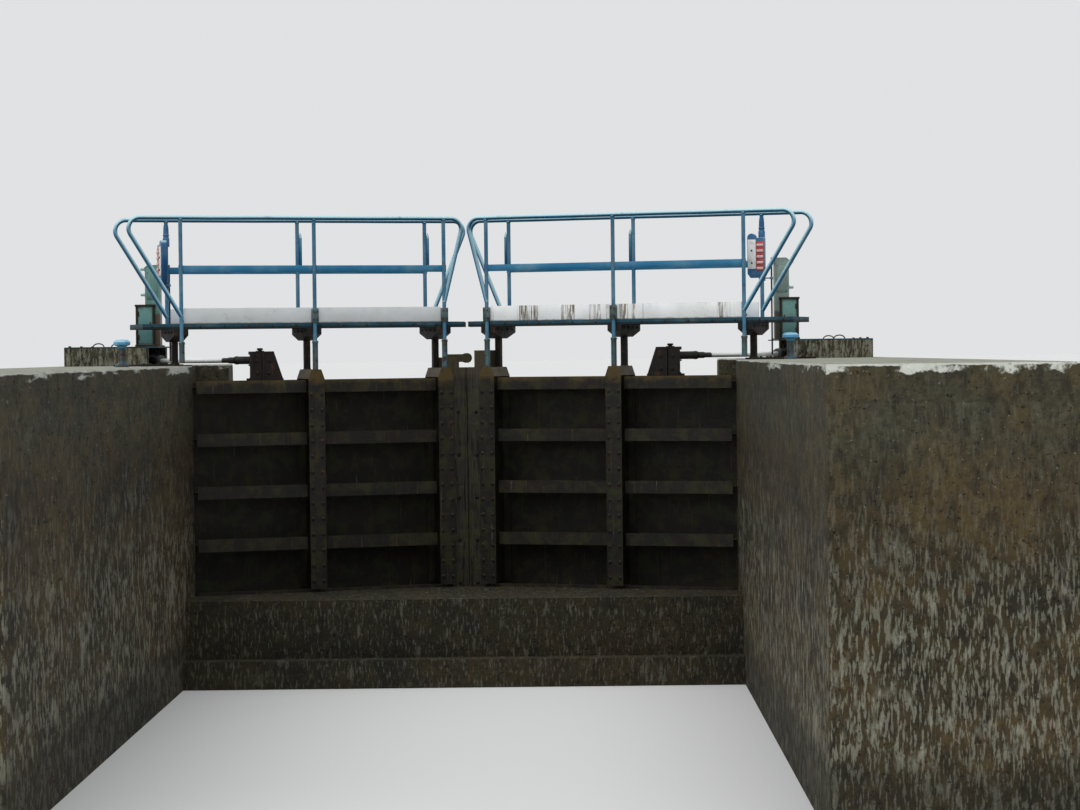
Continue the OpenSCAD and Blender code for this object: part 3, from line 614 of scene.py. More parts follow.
def facing_up(tree, given):
    """Mask: smooth step of the normal's Z about Slope, cut by a cloudy noise."""
    cloud = noise(tree, given["Vector"], given["Scale"], 6.0, 0.6)
    facing = stepped(tree, maths(tree, "SUBTRACT", normal_z(tree), given["Slope"]), -0.3, 0.3)
    return product(tree, facing, cut(tree, cloud, given["Cover"], 0.12))


def undersides(tree, given):
    """Mask of painted shade on what faces down: smooth step of the normal's Z, broken by a cloudy noise."""
    cloud = noise(tree, given["Vector"], given["Scale"], 5.0, 0.6)
    return stepped(tree, maths(tree, "ADD", normal_z(tree), product(tree, cloud, 0.6)), 0.55, -0.35)


def worn_edges(tree, given):
    """Mask: how far the rounded normal leans from the true one, cut by noise."""
    soft = put(tree, "ShaderNodeBevel", {"samples": 4}, Radius=given["Radius"]).outputs[0]
    true = tree.nodes.new("ShaderNodeNewGeometry").outputs["Normal"]
    bare = stepped(tree, dot_product(tree, soft, true), 0.99, 0.86)
    cloud = stepped(tree, noise(tree, given["Vector"], given["Scale"], 4.0, 0.6), 0.35, 0.6)
    return product(tree, product(tree, bare, cloud), given["Amount"])


def rough_skin(tree, given):
    """Height: coarse noise, fine noise and round pits added together."""
    coarse = noise(tree, given["Vector"], given["Coarse"], 6.0, 0.65)
    fine = noise(tree, given["Vector"], given["Fine"], 3.0, 0.6)
    pit_scale = product(tree, given["Coarse"], 2.5)
    cells = put(tree, "ShaderNodeTexVoronoi", Vector=given["Vector"], Scale=pit_scale)
    pits = product(tree, stepped(tree, cells.outputs["Distance"], 0.0, 0.35, -0.5, 0.0), given["Pits"])
    return maths(tree, "ADD", maths(tree, "ADD", coarse, product(tree, fine, 0.35)), pits)


# Each shared effect: its nodes, and its inputs with their usual values
EFFECTS = {
    "patches": (patches, {"Scale": 4.0, "Cover": 0.5, "Softness": 0.05}),
    "runs": (runs_of_water, {"Width": 0.03, "Length": 0.6, "Cover": 0.4, "Softness": 0.08}),
    "band": (height_band, {"Height": 1.0, "Depth": 0.2, "Waver": 0.1, "Scale": 3.0}),
    "skyward": (facing_up, {"Scale": 8.0, "Cover": 0.5, "Slope": 0.55}),
    "undersides": (undersides, {"Scale": 9.0}),
    "edges": (worn_edges, {"Radius": 0.006, "Scale": 40.0, "Amount": 1.0}),
    "grain": (rough_skin, {"Coarse": 12.0, "Fine": 90.0, "Pits": 0.5}),
}


def shared_group(name):
    """Node group of a shared effect, made the first time that it is asked for."""
    if name in bpy.data.node_groups:
        return bpy.data.node_groups[name]
    build, inputs = EFFECTS[name]
    group = bpy.data.node_groups.new(name, "ShaderNodeTree")
    group.interface.new_socket(name="Vector", in_out="INPUT", socket_type="NodeSocketVector")
    for label, value in inputs.items():
        socket = group.interface.new_socket(name=label, in_out="INPUT", socket_type="NodeSocketFloat")
        socket.default_value = value
    group.interface.new_socket(name="Result", in_out="OUTPUT", socket_type="NodeSocketFloat")
    given = group.nodes.new("NodeGroupInput").outputs
    result = build(group, given)
    feed(group, group.nodes.new("NodeGroupOutput").inputs[0], result)
    return group


class Coat:
    """Material in the making: its nodes, and the base colour that has been laid on so far."""

    def __init__(self, name, base=None):
        self.material = bpy.data.materials.new(f"aged_{name}")
        self.material.use_nodes = True
        self.tree = self.material.node_tree
        self.shader = next(n for n in self.tree.nodes if n.type == "BSDF_PRINCIPLED")
        self.place = self.tree.nodes.new("ShaderNodeTexCoord").outputs["Object"]
        self.base = base

    def scaled_place(self, *scale):
        return put(self.tree, "ShaderNodeMapping", Vector=self.place, Scale=scale).outputs[0]

    def maths(self, operation, first, second):
        return maths(self.tree, operation, first, second)

    def product(self, first, second):
        return product(self.tree, first, second)

    def clouded(self, scale, share, least):
        """Value least + share x noise."""
        return self.maths("ADD", self.product(noise(self.tree, self.place, scale), share), least)

    def mask(self, name, place=None, **values):
        """Shared effect over the material's coordinates, or over others."""
        node = self.tree.nodes.new("ShaderNodeGroup")
        node.node_tree = shared_group(name)
        values["Vector"] = self.place if place is None else place
        for label, value in values.items():
            feed(self.tree, node.inputs[label], value)
        return node.outputs[0]

    def lay(self, mask, ink, share=1.0):
        """Lays a colour on the base where the mask is 1, as strongly as the share."""
        self.base = layered(self.tree, mask, self.base, ink, share)

    def patch(self, ink, share, scale, cover, softness):
        """Lays a colour on in patches as strongly as the share, and returns their mask."""
        mask = self.mask("patches", Scale=scale, Cover=cover, Softness=softness)
        self.lay(mask, ink, share)
        return mask

    def run(self, ink, share, width, drop, cover, softness):
        """Lays a colour on in runs of water of a width and drop, as strongly as the share."""
        self.lay(self.mask("runs", Width=width, Length=drop, Cover=cover, Softness=softness), ink, share)

    def lay_below(self, ink, share, **band):
        """Lays a colour on what is below a wavering height."""
        self.lay(self.maths("SUBTRACT", 1.0, self.mask("band", **band)), ink, share)

    def finished(self, rough, height, distance, shine=0.5):
        """The material with its base colour, roughness and specular level, bumped by a height."""
        bump = put(self.tree, "ShaderNodeBump", Height=height, Distance=distance, Strength=1.0)
        for label, value in (("Base Color", self.base), ("Roughness", rough), ("Specular IOR Level", shine),
                             ("Normal", bump.outputs[0])):
            feed(self.tree, self.shader.inputs[label], value)
        return self.material


def old_paint(name, c, paint, pale, fade=0.45, chips=0.30, chip_scale=22.0, runs=0.30, grime=0.35,
              gloss=0.32, bleach=0.5, edges=0.8, shade=0.5, slope=0.55, shine=0.35, lower_edge=None,
              lower_ink=None, waver=0.004):
    """Old paint on steel: two tones in patches, paler on tops by a painted highlight, painted shade on
    undersides, grimed, with rust at chips and runs below.

    What lies below the height lower_edge, give or take waver, has the colour lower_ink, or near black.
    """
    coat = Coat(name, paint)
    coat.patch(pale, 0.22, 2.6, fade, 0.16)
    # Painted shade: what faces down is darkened with SHADE, as strongly as shade
    coat.lay(coat.mask("undersides", Scale=9.0), SHADE, shade)
    # Painted highlight, with some fading: upward faces take the pale colour, for the sky's reflection on
    # gloss paint
    coat.lay(coat.mask("skyward", Scale=5.0, Cover=0.72, Slope=slope), pale, bleach)
    dirt = coat.patch(GRIME, 0.55, 11.0, grime, 0.12)
    coat.run(c.rust_stain, 0.6, 0.014, 0.22, runs, 0.05)
    spots = coat.mask("patches", Scale=chip_scale, Cover=chips, Softness=0.012)
    worn = coat.mask("edges", Radius=0.005, Scale=35.0, Amount=edges)
    bare = coat.maths("MAXIMUM", spots, worn)
    coat.lay(bare, layered(coat.tree, noise(coat.tree, coat.place, 70.0), c.rust, c.rust_dark))
    if lower_edge is not None:
        ink = getattr(c, lower_ink) if lower_ink else NEAR_BLACK
        coat.lay_below(ink, 0.8, Height=lower_edge, Depth=2 * waver, Waver=waver, Scale=14.0)
    dull = coat.maths("MAXIMUM", coat.clouded(9.0, 0.25, gloss - 0.1), coat.product(dirt, 0.6))
    rough = coat.maths("MAXIMUM", coat.product(bare, 0.9), dull)
    skin = coat.mask("grain", Coarse=30.0, Fine=160.0, Pits=0.2)
    return coat.finished(rough, coat.maths("SUBTRACT", coat.product(skin, 0.35), bare), 0.0012, shine)


def overgrow(coat, c, height, share=0.9):
    """Brown growth above a height, where the water spills over: a wavering, patchy band."""
    spill = coat.mask("band", Height=height, Depth=0.08, Waver=0.05, Scale=7.0)
    clumps = coat.mask("patches", Scale=15.0, Cover=0.62, Softness=0.10)
    coat.lay(coat.product(spill, clumps), c.weed, share)


def rusted_steel(name, c, main, dark, pale=0.2, moss=0.0, wet=0.25, rust=0.35, weed=None):
    """Rusted or coated steel: dark and brown patches, flaking scale, runs of rust, moss on tops.

    Above the height weed it is overgrown.
    """
    coat = Coat(name, main)
    coat.patch(dark, 1.0, 3.5, 0.5, 0.14)
    brown = coat.patch(c.rust, 0.55, 9.0, rust, 0.06)
    coat.run(c.rust_stain, 0.28, 0.02, 0.45, 0.34, 0.07)
    coat.run(c.wall_pale, 0.35, 0.03, 0.5, pale, 0.06)
    if moss > 0:
        green = coat.mask("patches", Scale=6.5, Cover=moss, Softness=0.09)
        tops = coat.mask("skyward", Scale=14.0, Cover=moss + 0.30, Slope=0.40)
        coat.lay(coat.maths("MAXIMUM", coat.product(green, 0.45), tops), c.moss)
    if weed is not None:
        overgrow(coat, c, weed)
    skin = coat.mask("grain", Coarse=24.0, Fine=120.0, Pits=0.8)
    flaked = coat.maths("ADD", skin, coat.product(brown, -0.35))
    return coat.finished(coat.clouded(16.0, 0.5, wet), flaked, 0.004, shine=0.2)


def concrete(name, c, scaled=0.40, scaled_top=1.9, rim=True, tops=True, damp=0.0, moss=0.22):
    """Old lock concrete: brown stains, a smooth olive band on top, scaled pale patches lower down.

    The marks are drawn out along Y, the way the walls run. scaled and scaled_top are the cover of
    the pale patches and the height below which they lie, and damp is the height below which the
    wall is wet. A rim has a broken edge, and tops have the pale crust of a coping.
    """
    coat = Coat(name, c.wall_dark)
    true_place = coat.place
    edge = coat.scaled_place(1.0, 0.18, 1.0)
    coat.place = coat.scaled_place(1.0, 0.30, 1.0)
    coat.patch(c.wall_brown, 1.0, 0.9, 0.5, 0.16)
    smooth = coat.mask("band", Height=COPING_Z - 0.85, Depth=0.45, Waver=0.10, Scale=1.6)
    coat.lay(smooth, c.wall_olive, 0.75)
    coat.patch(c.wall_dark, 0.42, 20.0, 0.5, 0.08)
    coat.patch(c.wall_stain, 0.26, 4.5, 0.47, 0.09)
    coat.run(BLACK_RUN, 0.50, 0.07, 0.16, 0.44, 0.07)
    coat.patch(c.wall_pale, 0.40, 34.0, 0.35, 0.03)
    low = coat.mask("band", Height=scaled_top - 0.9, Depth=1.3, Waver=0.30, Scale=0.9)
    zone = coat.maths("SUBTRACT", 1.0, coat.product(low, 0.85))
    for width, drop, more in ((0.05, 0.20, 0.0), (0.018, 0.09, 0.04), (0.20, 0.40, -0.04)):
        white = coat.mask("runs", Width=width, Length=drop, Cover=scaled + more, Softness=0.06)
        coat.lay(coat.product(white, zone), c.wall_pale, 0.5)
    # Painted shade in the holes: near-black patches where the bump sinks them
    shaded_holes = coat.patch(HOLE_SHADE, 0.7, 27.0, 0.36, 0.03)
    coat.run(c.moss, 0.5, 0.06, 0.5, moss, 0.05)
    if damp > 0:
        coat.lay_below(DAMP, 0.55, Height=damp, Depth=0.25, Waver=0.12, Scale=2.0)
    if rim:
        thin = coat.mask("band", edge, Height=COPING_Z - 0.016, Depth=0.006, Waver=0.008, Scale=16.0)
        deep = coat.mask("band", edge, Height=COPING_Z - 0.060, Depth=0.012, Waver=0.035, Scale=8.0)
        scar = coat.mask("patches", edge, Scale=2.4, Cover=0.46, Softness=0.03)
        whole = coat.mask("patches", edge, Scale=3.0, Cover=0.68, Softness=0.10)
        coat.lay(coat.maths("MAXIMUM", coat.product(thin, whole), coat.product(deep, scar)), c.lime, 0.85)
    if tops:
        upper = coat.mask("band", Height=COPING_Z - 0.4, Depth=0.2, Waver=0.02, Scale=3.0)
        crust = coat.mask("patches", true_place, Scale=9.0, Cover=0.50, Softness=0.14)
        lichen = coat.mask("patches", true_place, Scale=3.0, Cover=0.38, Softness=0.10)
        worn = layered(coat.tree, crust, c.coping, c.wall_brown, 0.40)
        worn = layered(coat.tree, lichen, worn, c.moss, 0.6)
        coat.lay(coat.product(coat.mask("skyward", Scale=1.8, Cover=0.95), upper), worn)
    skin = coat.mask("grain", true_place, Coarse=9.0, Fine=70.0, Pits=1.0)
    holed = coat.maths("SUBTRACT", skin, coat.product(shaded_holes, 0.6))
    return coat.finished(coat.clouded(7.0, 0.35, 0.6), holed, 0.014, shine=0.15)


def painted_board(name, c, paint, stains, joints):
    """Painted board: clouded paint, rusty drips in clusters along X, a dirty foot and worn edges."""
    coat = Coat(name, paint)
    coat.patch(c.coping, 0.25, 3.0, 0.5, 0.18)
    coat.patch(DUST, 0.30, 14.0, 0.34, 0.10)
    flat = coat.scaled_place(1.0, 1.0, 0.0)
    cluster = coat.mask("patches", flat, Scale=3.4, Cover=stains, Softness=0.035)
    for width, drop, cover, ink in ((0.013, 0.14, 0.50, c.rust_stain), (0.009, 0.20, 0.46, c.rust_dark)):
        drip = coat.mask("runs", Width=width, Length=drop, Cover=cover, Softness=0.05)
        coat.lay(coat.product(drip, cluster), ink, 0.8)
    coat.lay_below(c.rust_dark, 0.6, Height=DECK_Z + 0.002, Depth=0.012, Waver=0.008, Scale=12.0)
    chip = coat.mask("patches", Scale=26.0, Cover=0.25, Softness=0.015)
    worn = coat.mask("edges", Radius=0.004, Scale=30.0, Amount=joints)
    bare = coat.maths("MAXIMUM", chip, worn)
    coat.lay(bare, c.rust)
    skin = coat.mask("grain", Coarse=14.0, Fine=120.0, Pits=0.2)
    chipped = coat.maths("SUBTRACT", coat.product(skin, 0.4), bare)
    return coat.finished(coat.clouded(9.0, 0.3, 0.35), chipped, 0.0015)


def wet_timber(name, c):
    """Wet timber: grain drawn out in height, dark splits and moss."""
    coat = Coat(name, DARK_GRAIN)
    drawn = coat.scaled_place(1.0, 1.0, 0.05)
    grain = noise(coat.tree, drawn, 55.0, 6.0, 0.65)
    coat.lay(stepped(coat.tree, grain, 0.35, 0.65), c.timber)
    split = stepped(coat.tree, noise(coat.tree, drawn, 24.0, 3.0, 0.5), 0.40, 0.36)
    coat.lay(split, SPLIT)
    green = coat.patch(c.moss, 0.65, 7.0, 0.48, 0.10)
    coat.run(c.wall_pale, 0.4, 0.03, 0.7, 0.28, 0.05)
    overgrow(coat, c, LEAF_TOP_Z - 0.04, share=0.4)
    height = coat.maths("SUBTRACT", coat.maths("ADD", grain, coat.product(green, 0.4)), split)
    return coat.finished(stepped(coat.tree, grain, 0.3, 0.7, 0.30, 0.75), height, 0.006)


def ram_rod_steel(name, c, side):
    """Bright plated rod with a film of oil; nearer the pin than rod_bright it is old dark steel."""
    coat = Coat(name)
    s = sizes()
    pin, turn, _ = ram_seat(s)
    along = (side * math.cos(turn), math.sin(turn), 0.0)
    from_pin = s.rod_bright + side * pin[0] * along[0] + pin[1] * along[1]
    bright = coat.maths("GREATER_THAN", dot_product(coat.tree, coat.place, along), from_pin)
    film = coat.mask("patches", Scale=12.0, Cover=0.42, Softness=0.12)
    scale = coat.mask("patches", Scale=16.0, Cover=0.5, Softness=0.10)
    coat.base = layered(coat.tree, scale, c.wet_steel, c.rust_dark)
    # Near-white diffuse colour on weakly metallic steel: painted reflection of the sky, with the plating's
    # own brightness
    coat.lay(bright, layered(coat.tree, film, c.chrome, c.ram_grey, 0.12))
    feed(coat.tree, coat.shader.inputs["Metallic"], coat.product(bright, 0.3))
    smooth = stepped(coat.tree, film, 0.0, 1.0, 0.18, 0.36)
    dull = coat.product(coat.maths("SUBTRACT", 1.0, bright), 0.5)
    return coat.finished(coat.maths("ADD", smooth, dull), noise(coat.tree, coat.place, 260.0, 2.0), 0.0002)


# Wear that the cabinets' painted faces share
CABINET = dict(fade=0.5, chips=0.28, runs=0.36, grime=0.38, gloss=0.45)

# Each finish: its function, the names of its colours, and its values
FINISHES = {
    # In old paint, the lightening of upward faces is mostly a painted highlight, strongest on the railings
    "rail_paint": (old_paint, "rail_blue", "rail_pale", dict(
        fade=0.35, chips=0.26, runs=0.25, grime=0.30, gloss=0.22, bleach=1.0, shade=0.75, slope=0.10)),
    "mid_rail_paint": (old_paint, "rail_blue", "rail_pale", dict(
        fade=0.42, chips=0.27, runs=0.27, grime=0.22, bleach=0.7)),
    "post_paint": (old_paint, "post_blue", "rail_pale", dict(fade=0.48, chips=0.30, runs=0.33, grime=0.34)),
    "post_foot_paint": (old_paint, "deck_blue", "cabinet_pale", dict(
        fade=0.55, chips=0.40, runs=0.42, grime=0.50)),
    "sleeve_cap": (old_paint, "rail_pale", "cabinet_pale", dict(chips=0.26)),
    # Below lower_edge the deck's paint is near black
    "deck_paint": (old_paint, "deck_blue", "rail_pale", dict(
        fade=0.35, chips=0.34, chip_scale=12.0, runs=0.36, grime=0.44, bleach=0.3, edges=0.4,
        gloss=0.60, shine=0.12, lower_edge=DECK_Z - 0.032)),
    "gear_paint": (old_paint, "gear_blue", "rail_pale", dict(
        chips=0.26, runs=0.26, grime=0.36, gloss=0.22, bleach=0.7)),
    "gear_plate": (old_paint, "enamel_white", "board_grey", dict(
        chips=0.25, runs=0.30, grime=0.34, gloss=0.25, bleach=0.2)),
    "gear_rack": (old_paint, "enamel_red", "enamel_pink", dict(
        chips=0.26, runs=0.25, grime=0.36, gloss=0.25, bleach=0.6)),
    # Teeth in pale pink, paler still on top: painted highlight of light on them
    "gear_teeth": (old_paint, "enamel_pink", "enamel_white", dict(
        chips=0.26, runs=0.22, grime=0.30, gloss=0.25, bleach=0.8)),
    "cabinet_paint": (old_paint, "cabinet_green", "cabinet_pale", CABINET),
    "hood_green": (old_paint, "cabinet_green", "cabinet_pale", dict(
        CABINET, lower_edge=DECK_Z + 0.10, lower_ink="rust", waver=0.02)),
    "hood_grey": (old_paint, "cabinet_grey", "cabinet_pale", dict(
        CABINET, lower_edge=DECK_Z + 0.06, lower_ink="timber", waver=0.02)),
    "cabinet_lid": (old_paint, "cabinet_pale", "board_white", dict(chips=0.30, runs=0.32)),
    "bollard_paint": (old_paint, "bollard_blue", "rail_pale", dict(
        chips=0.30, chip_scale=16.0, runs=0.30, gloss=0.3)),
    "bollard_stem": (old_paint, "deck_blue", "rust_dark", dict(
        fade=0.6, chips=0.45, runs=0.40, grime=0.5, bleach=0.1)),
    "ram_paint": (old_paint, "ram_grey", "board_grey", dict(fade=0.3, chips=0.33, gloss=0.35)),
    "tread_steel": (rusted_steel, "deck_blue", "rust_dark", dict(pale=0.3, wet=0.35)),
    "cabinet_frame": (rusted_steel, "rust_dark", "timber", dict(wet=0.5, rust=0.22)),
    "dark_rust": (rusted_steel, "rust_dark", "wet_steel", dict(pale=0.15, wet=0.35, rust=0.38, moss=0.2)),
    "leaf_steel": (rusted_steel, "wet_steel", "rust_dark", dict(
        pale=0.27, moss=0.46, rust=0.28, weed=LEAF_TOP_Z - 0.06)),
    "bare_steel": (rusted_steel, "ram_grey", "rust_dark", dict(wet=0.3, rust=0.3)),
    "board_grey": (painted_board, "board_grey", dict(stains=0.28, joints=0.3)),
    "board_white": (painted_board, "board_white", dict(stains=0.44, joints=0.9)),
    "timber": (wet_timber, {}),
    "left_rod": (ram_rod_steel, dict(side=1)),
    "right_rod": (ram_rod_steel, dict(side=-1)),
    "wall_concrete": (concrete, dict(damp=0.35)),
    "coping_concrete": (concrete, dict(scaled=0.34)),
    "sill_concrete": (concrete, dict(scaled=0.36, rim=False, tops=False, damp=1.4, moss=0.38)),
    "plinth_concrete": (concrete, dict(scaled=0.42, scaled_top=4.5, rim=False, moss=0.3)),
}


def finish_named(name):
    """Material of a finish, made the first time that it is asked for."""
    made = bpy.data.materials.get(f"aged_{name}")
    if made:
        return made
    c = bpy.context.scene.gate_colours
    make, *inks, values = FINISHES[name]
    return make(name, c, *[getattr(c, ink) for ink in inks], **values)


# Finish of each model node that stays
NODE_FINISHES = {
    "sill": "sill_concrete", "pintles": "bare_steel", "wall": "wall_concrete", "anchor": "dark_rust",
    "ram_plinth": "plinth_concrete", "ram_cover": "tread_steel", "heel_post": "leaf_steel",
    "mitre_post": "timber", "girders": "leaf_steel", "frames": "leaf_steel", "skin": "leaf_steel",
    "paddle": "leaf_steel", "deck_supports": "dark_rust", "deck": "deck_paint", "ram_lug": "dark_rust",
    "ram_cylinder": "ram_paint",
}


# Railings


def railing_path(s, reach, lean):
    """Bent tube's line: a slope, an arc, the level top, an arc and a slope, in the plane y = 0."""
    top = DECK_Z + s.rail_rise
    foot_z = DECK_Z + 0.07
    last = 2 * post_pitch(s)
    mitre_t = s.bend_r * math.tan(math.pi / 4 + lean / 2)
    mitre_x = reach + mitre_t - s.bend_r
    heel_lean = math.atan2(s.heel_reach, top - foot_z)
    heel_t = s.bend_r * math.tan(math.pi / 4 + heel_lean / 2)
    slope_z = max(DECK_Z + 0.02, top - (mitre_x - last) / math.tan(lean))
    slope_x = mitre_x - (top - slope_z) * math.tan(lean)

    def arc(x, start, sweep):
        turn = start + sweep * np.linspace(0, 1, 15)
        return np.stack([x + s.bend_r * np.cos(turn), top - s.bend_r + s.bend_r * np.sin(turn)], -1)

    mitre_arc = arc(mitre_x - mitre_t, -lean, math.pi / 2 + lean)
    heel_arc = arc(-s.heel_reach + heel_t, math.pi / 2, math.pi / 2 + heel_lean)
    corners = np.vstack([[[slope_x, slope_z]], mitre_arc, heel_arc, [[0.0, foot_z]]])
    line, run = resampled(corners, 0.11)
    sway = 0.0012 * ripple(run, 7, 5, 0.5, 1.8)
    sag = 0.0010 * (ripple(run, 8, 5, 0.5, 1.6) - 1)
    return np.stack([line[:, 0], sway, line[:, 1] + sag], -1)


def rail_post(s, x, foot_z, top_z):
    """Post with a weld fillet at its head, where it meets the bent tube, and at its foot."""
    r = s.post_r
    h = top_z - s.tube_r - foot_z
    corners = [(0, r + 0.005), (0.006, r + 0.001), (0.012, r), (h - 0.014, r), (h - 0.006, r + 0.001),
               (h + 0.004, r + 0.006), (h + s.tube_r * 0.8, r - 0.002)]
    return moved(turned(corners, sides=24), x, 0, foot_z)


def mid_rail(s):
    """Flat bar with rounded edges through the posts, and a weld bead round it at each post."""
    z = DECK_Z + s.mid_rise
    half = s.mid_t / 2
    low, high = z - s.mid_h / 2, z + s.mid_h / 2
    last = 2 * post_pitch(s)
    weld = 0.003
    wide = s.post_r + 0.004
    bar = laid_along(slab(box_outline(-half, half, low, high, 0.0015), 0, last, 0.001))
    bead = block((-wide, -half - weld, low - weld), (wide, half + weld, high + weld))
    return joined([bar, repeated(bead, [(x, 0, 0) for x in (0.0, last / 2, last)])])


def railing(s, reach, lean, feet):
    """Bent tube, flat mid rail and posts, each with its finish."""
    top = DECK_Z + s.rail_rise
    posts = [rail_post(s, i * post_pitch(s), foot, top) for i, foot in enumerate(feet)]
    return [(tube(railing_path(s, reach, lean), s.tube_r, sides=28), "rail_paint"),
            (mid_rail(s), "mid_rail_paint"), (joined(posts), "post_paint")]


def near_railing(s):
    """Near railing: thick feet with chamfered collars, and clamps with bolts on its two frame posts."""
    feet = [COPING_Z + 0.024, FRAME_TOP_Z, FRAME_TOP_Z]
    top = DECK_FOOT_Z - s.foot_drop
    parts = railing(s, mitre_at(s, s.rail_span / 2, s.rail_gap + s.tube_r), s.near_lean, feet)
    r = s.foot_r
    collar = r + 0.004
    for i, foot in enumerate(feet):
        h = top - foot
        sleeve = [(0, r), (h / 2, r), (h - 0.030, r), (h - 0.022, collar), (h - 0.008, collar),
                  (h, s.post_r)]
        parts.append((moved(turned(sleeve), i * post_pitch(s), 0, foot), "post_foot_paint"))
    half = s.clamp_w / 2
    front = -s.post_r - 0.009
    for i in (1, 2):
        x = i * post_pitch(s)
        body = block((x - half, front, DECK_Z), (x + half, s.post_r, DECK_Z + s.clamp_h), 0.006)
        parts.append((body, "post_foot_paint"))
        heads = [(x + dx, front, DECK_Z + dz) for dx in (-0.018, 0.018) for dz in (0.03, s.clamp_h - 0.03)]
        parts.append(small_bolts(0.008, DOWNSTREAM, heads))
    return placed(parts, y=-s.rail_span / 2)


def far_railing(s):
    """Far railing: posts down to the deck's foot, and short capped sleeves beside its frame posts."""
    reach = mitre_at(s, -s.rail_span / 2, s.rail_gap + s.tube_r)
    parts = railing(s, reach, s.far_lean, [DECK_FOOT_Z] * 3)
    foot = DECK_Z + s.mid_rise + 0.04
    r = s.sleeve_r
    for i in (1, 2):
        x = i * post_pitch(s) + s.post_r + r - 0.002
        sleeve = turned([(0, r - 0.002), (0.004, r), (s.sleeve_h - 0.05, r)])
        cap = turned([(s.sleeve_h - 0.052, r), (s.sleeve_h - 0.03, r * 0.8), (s.sleeve_h, 0.002)])
        parts.append((moved(sleeve, x, 0, foot), "rail_paint"))
        parts.append((moved(cap, x, 0, foot), "sleeve_cap"))
    return placed(parts, y=s.rail_span / 2)


# Toe boards


def toe_board(s, x0, x1, y, bow, seed):
    """Board in plan: a strip whose two long sides follow bow (1 - (2 u - 1)^2), with a wavering top."""
    u = np.linspace(0, 1, 33)
    curve = bow * (1 - (2 * u - 1) ** 2)
    x = x0 + (x1 - x0) * u
    half = s.toe_t / 2
    near, far = (np.stack([x, y + side * half + curve], -1) for side in (-1, 1))
    outline = np.vstack([near, far[::-1]])
    points, faces = slab(outline, DECK_Z, DECK_Z + s.toe_h, 0.0025)
    high = points[:, 2] > DECK_Z + s.toe_h / 2
    waver = 0.0022 * (ripple(points[:, 0], seed, 6, 0.25, 1.2) - 1)
    points[:, 2] += np.where(high, waver, 0.0)
    return points, faces


def toe_boards(s, finish):
    """Four boards in two rows, with joint straps behind them and bolts along their feet."""
    start = s.post_r + 0.012
    middle = post_pitch(s)
    end = 2 * middle - start
    joint = 0.0015
    parts = []
    for row in (-1, 1):
        y = row * (deck_edge(s) - s.toe_t / 2)
        face = y - row * (s.toe_t / 2)
        for n, (x0, x1) in enumerate(((start, middle - joint), (middle + joint, end))):
            parts.append((toe_board(s, x0, x1, y, -row * s.toe_bow, 20 + 2 * n + row), finish))
            places = [(x, face, DECK_Z + 0.03) for x in np.arange(x0 + 0.12, x1 - 0.05, s.toe_pitch)]
            parts.append(small_bolts(0.009, (0, -row, 0), places))
        inner = face - row * 0.003
        strap = block((middle - 0.05, inner - 0.004, DECK_Z + 0.012),
                      (middle + 0.05, inner + 0.004, DECK_Z + s.toe_h - 0.02), 0.002)
        parts.append((strap, "dark_rust"))
    return parts


# Paddle gears


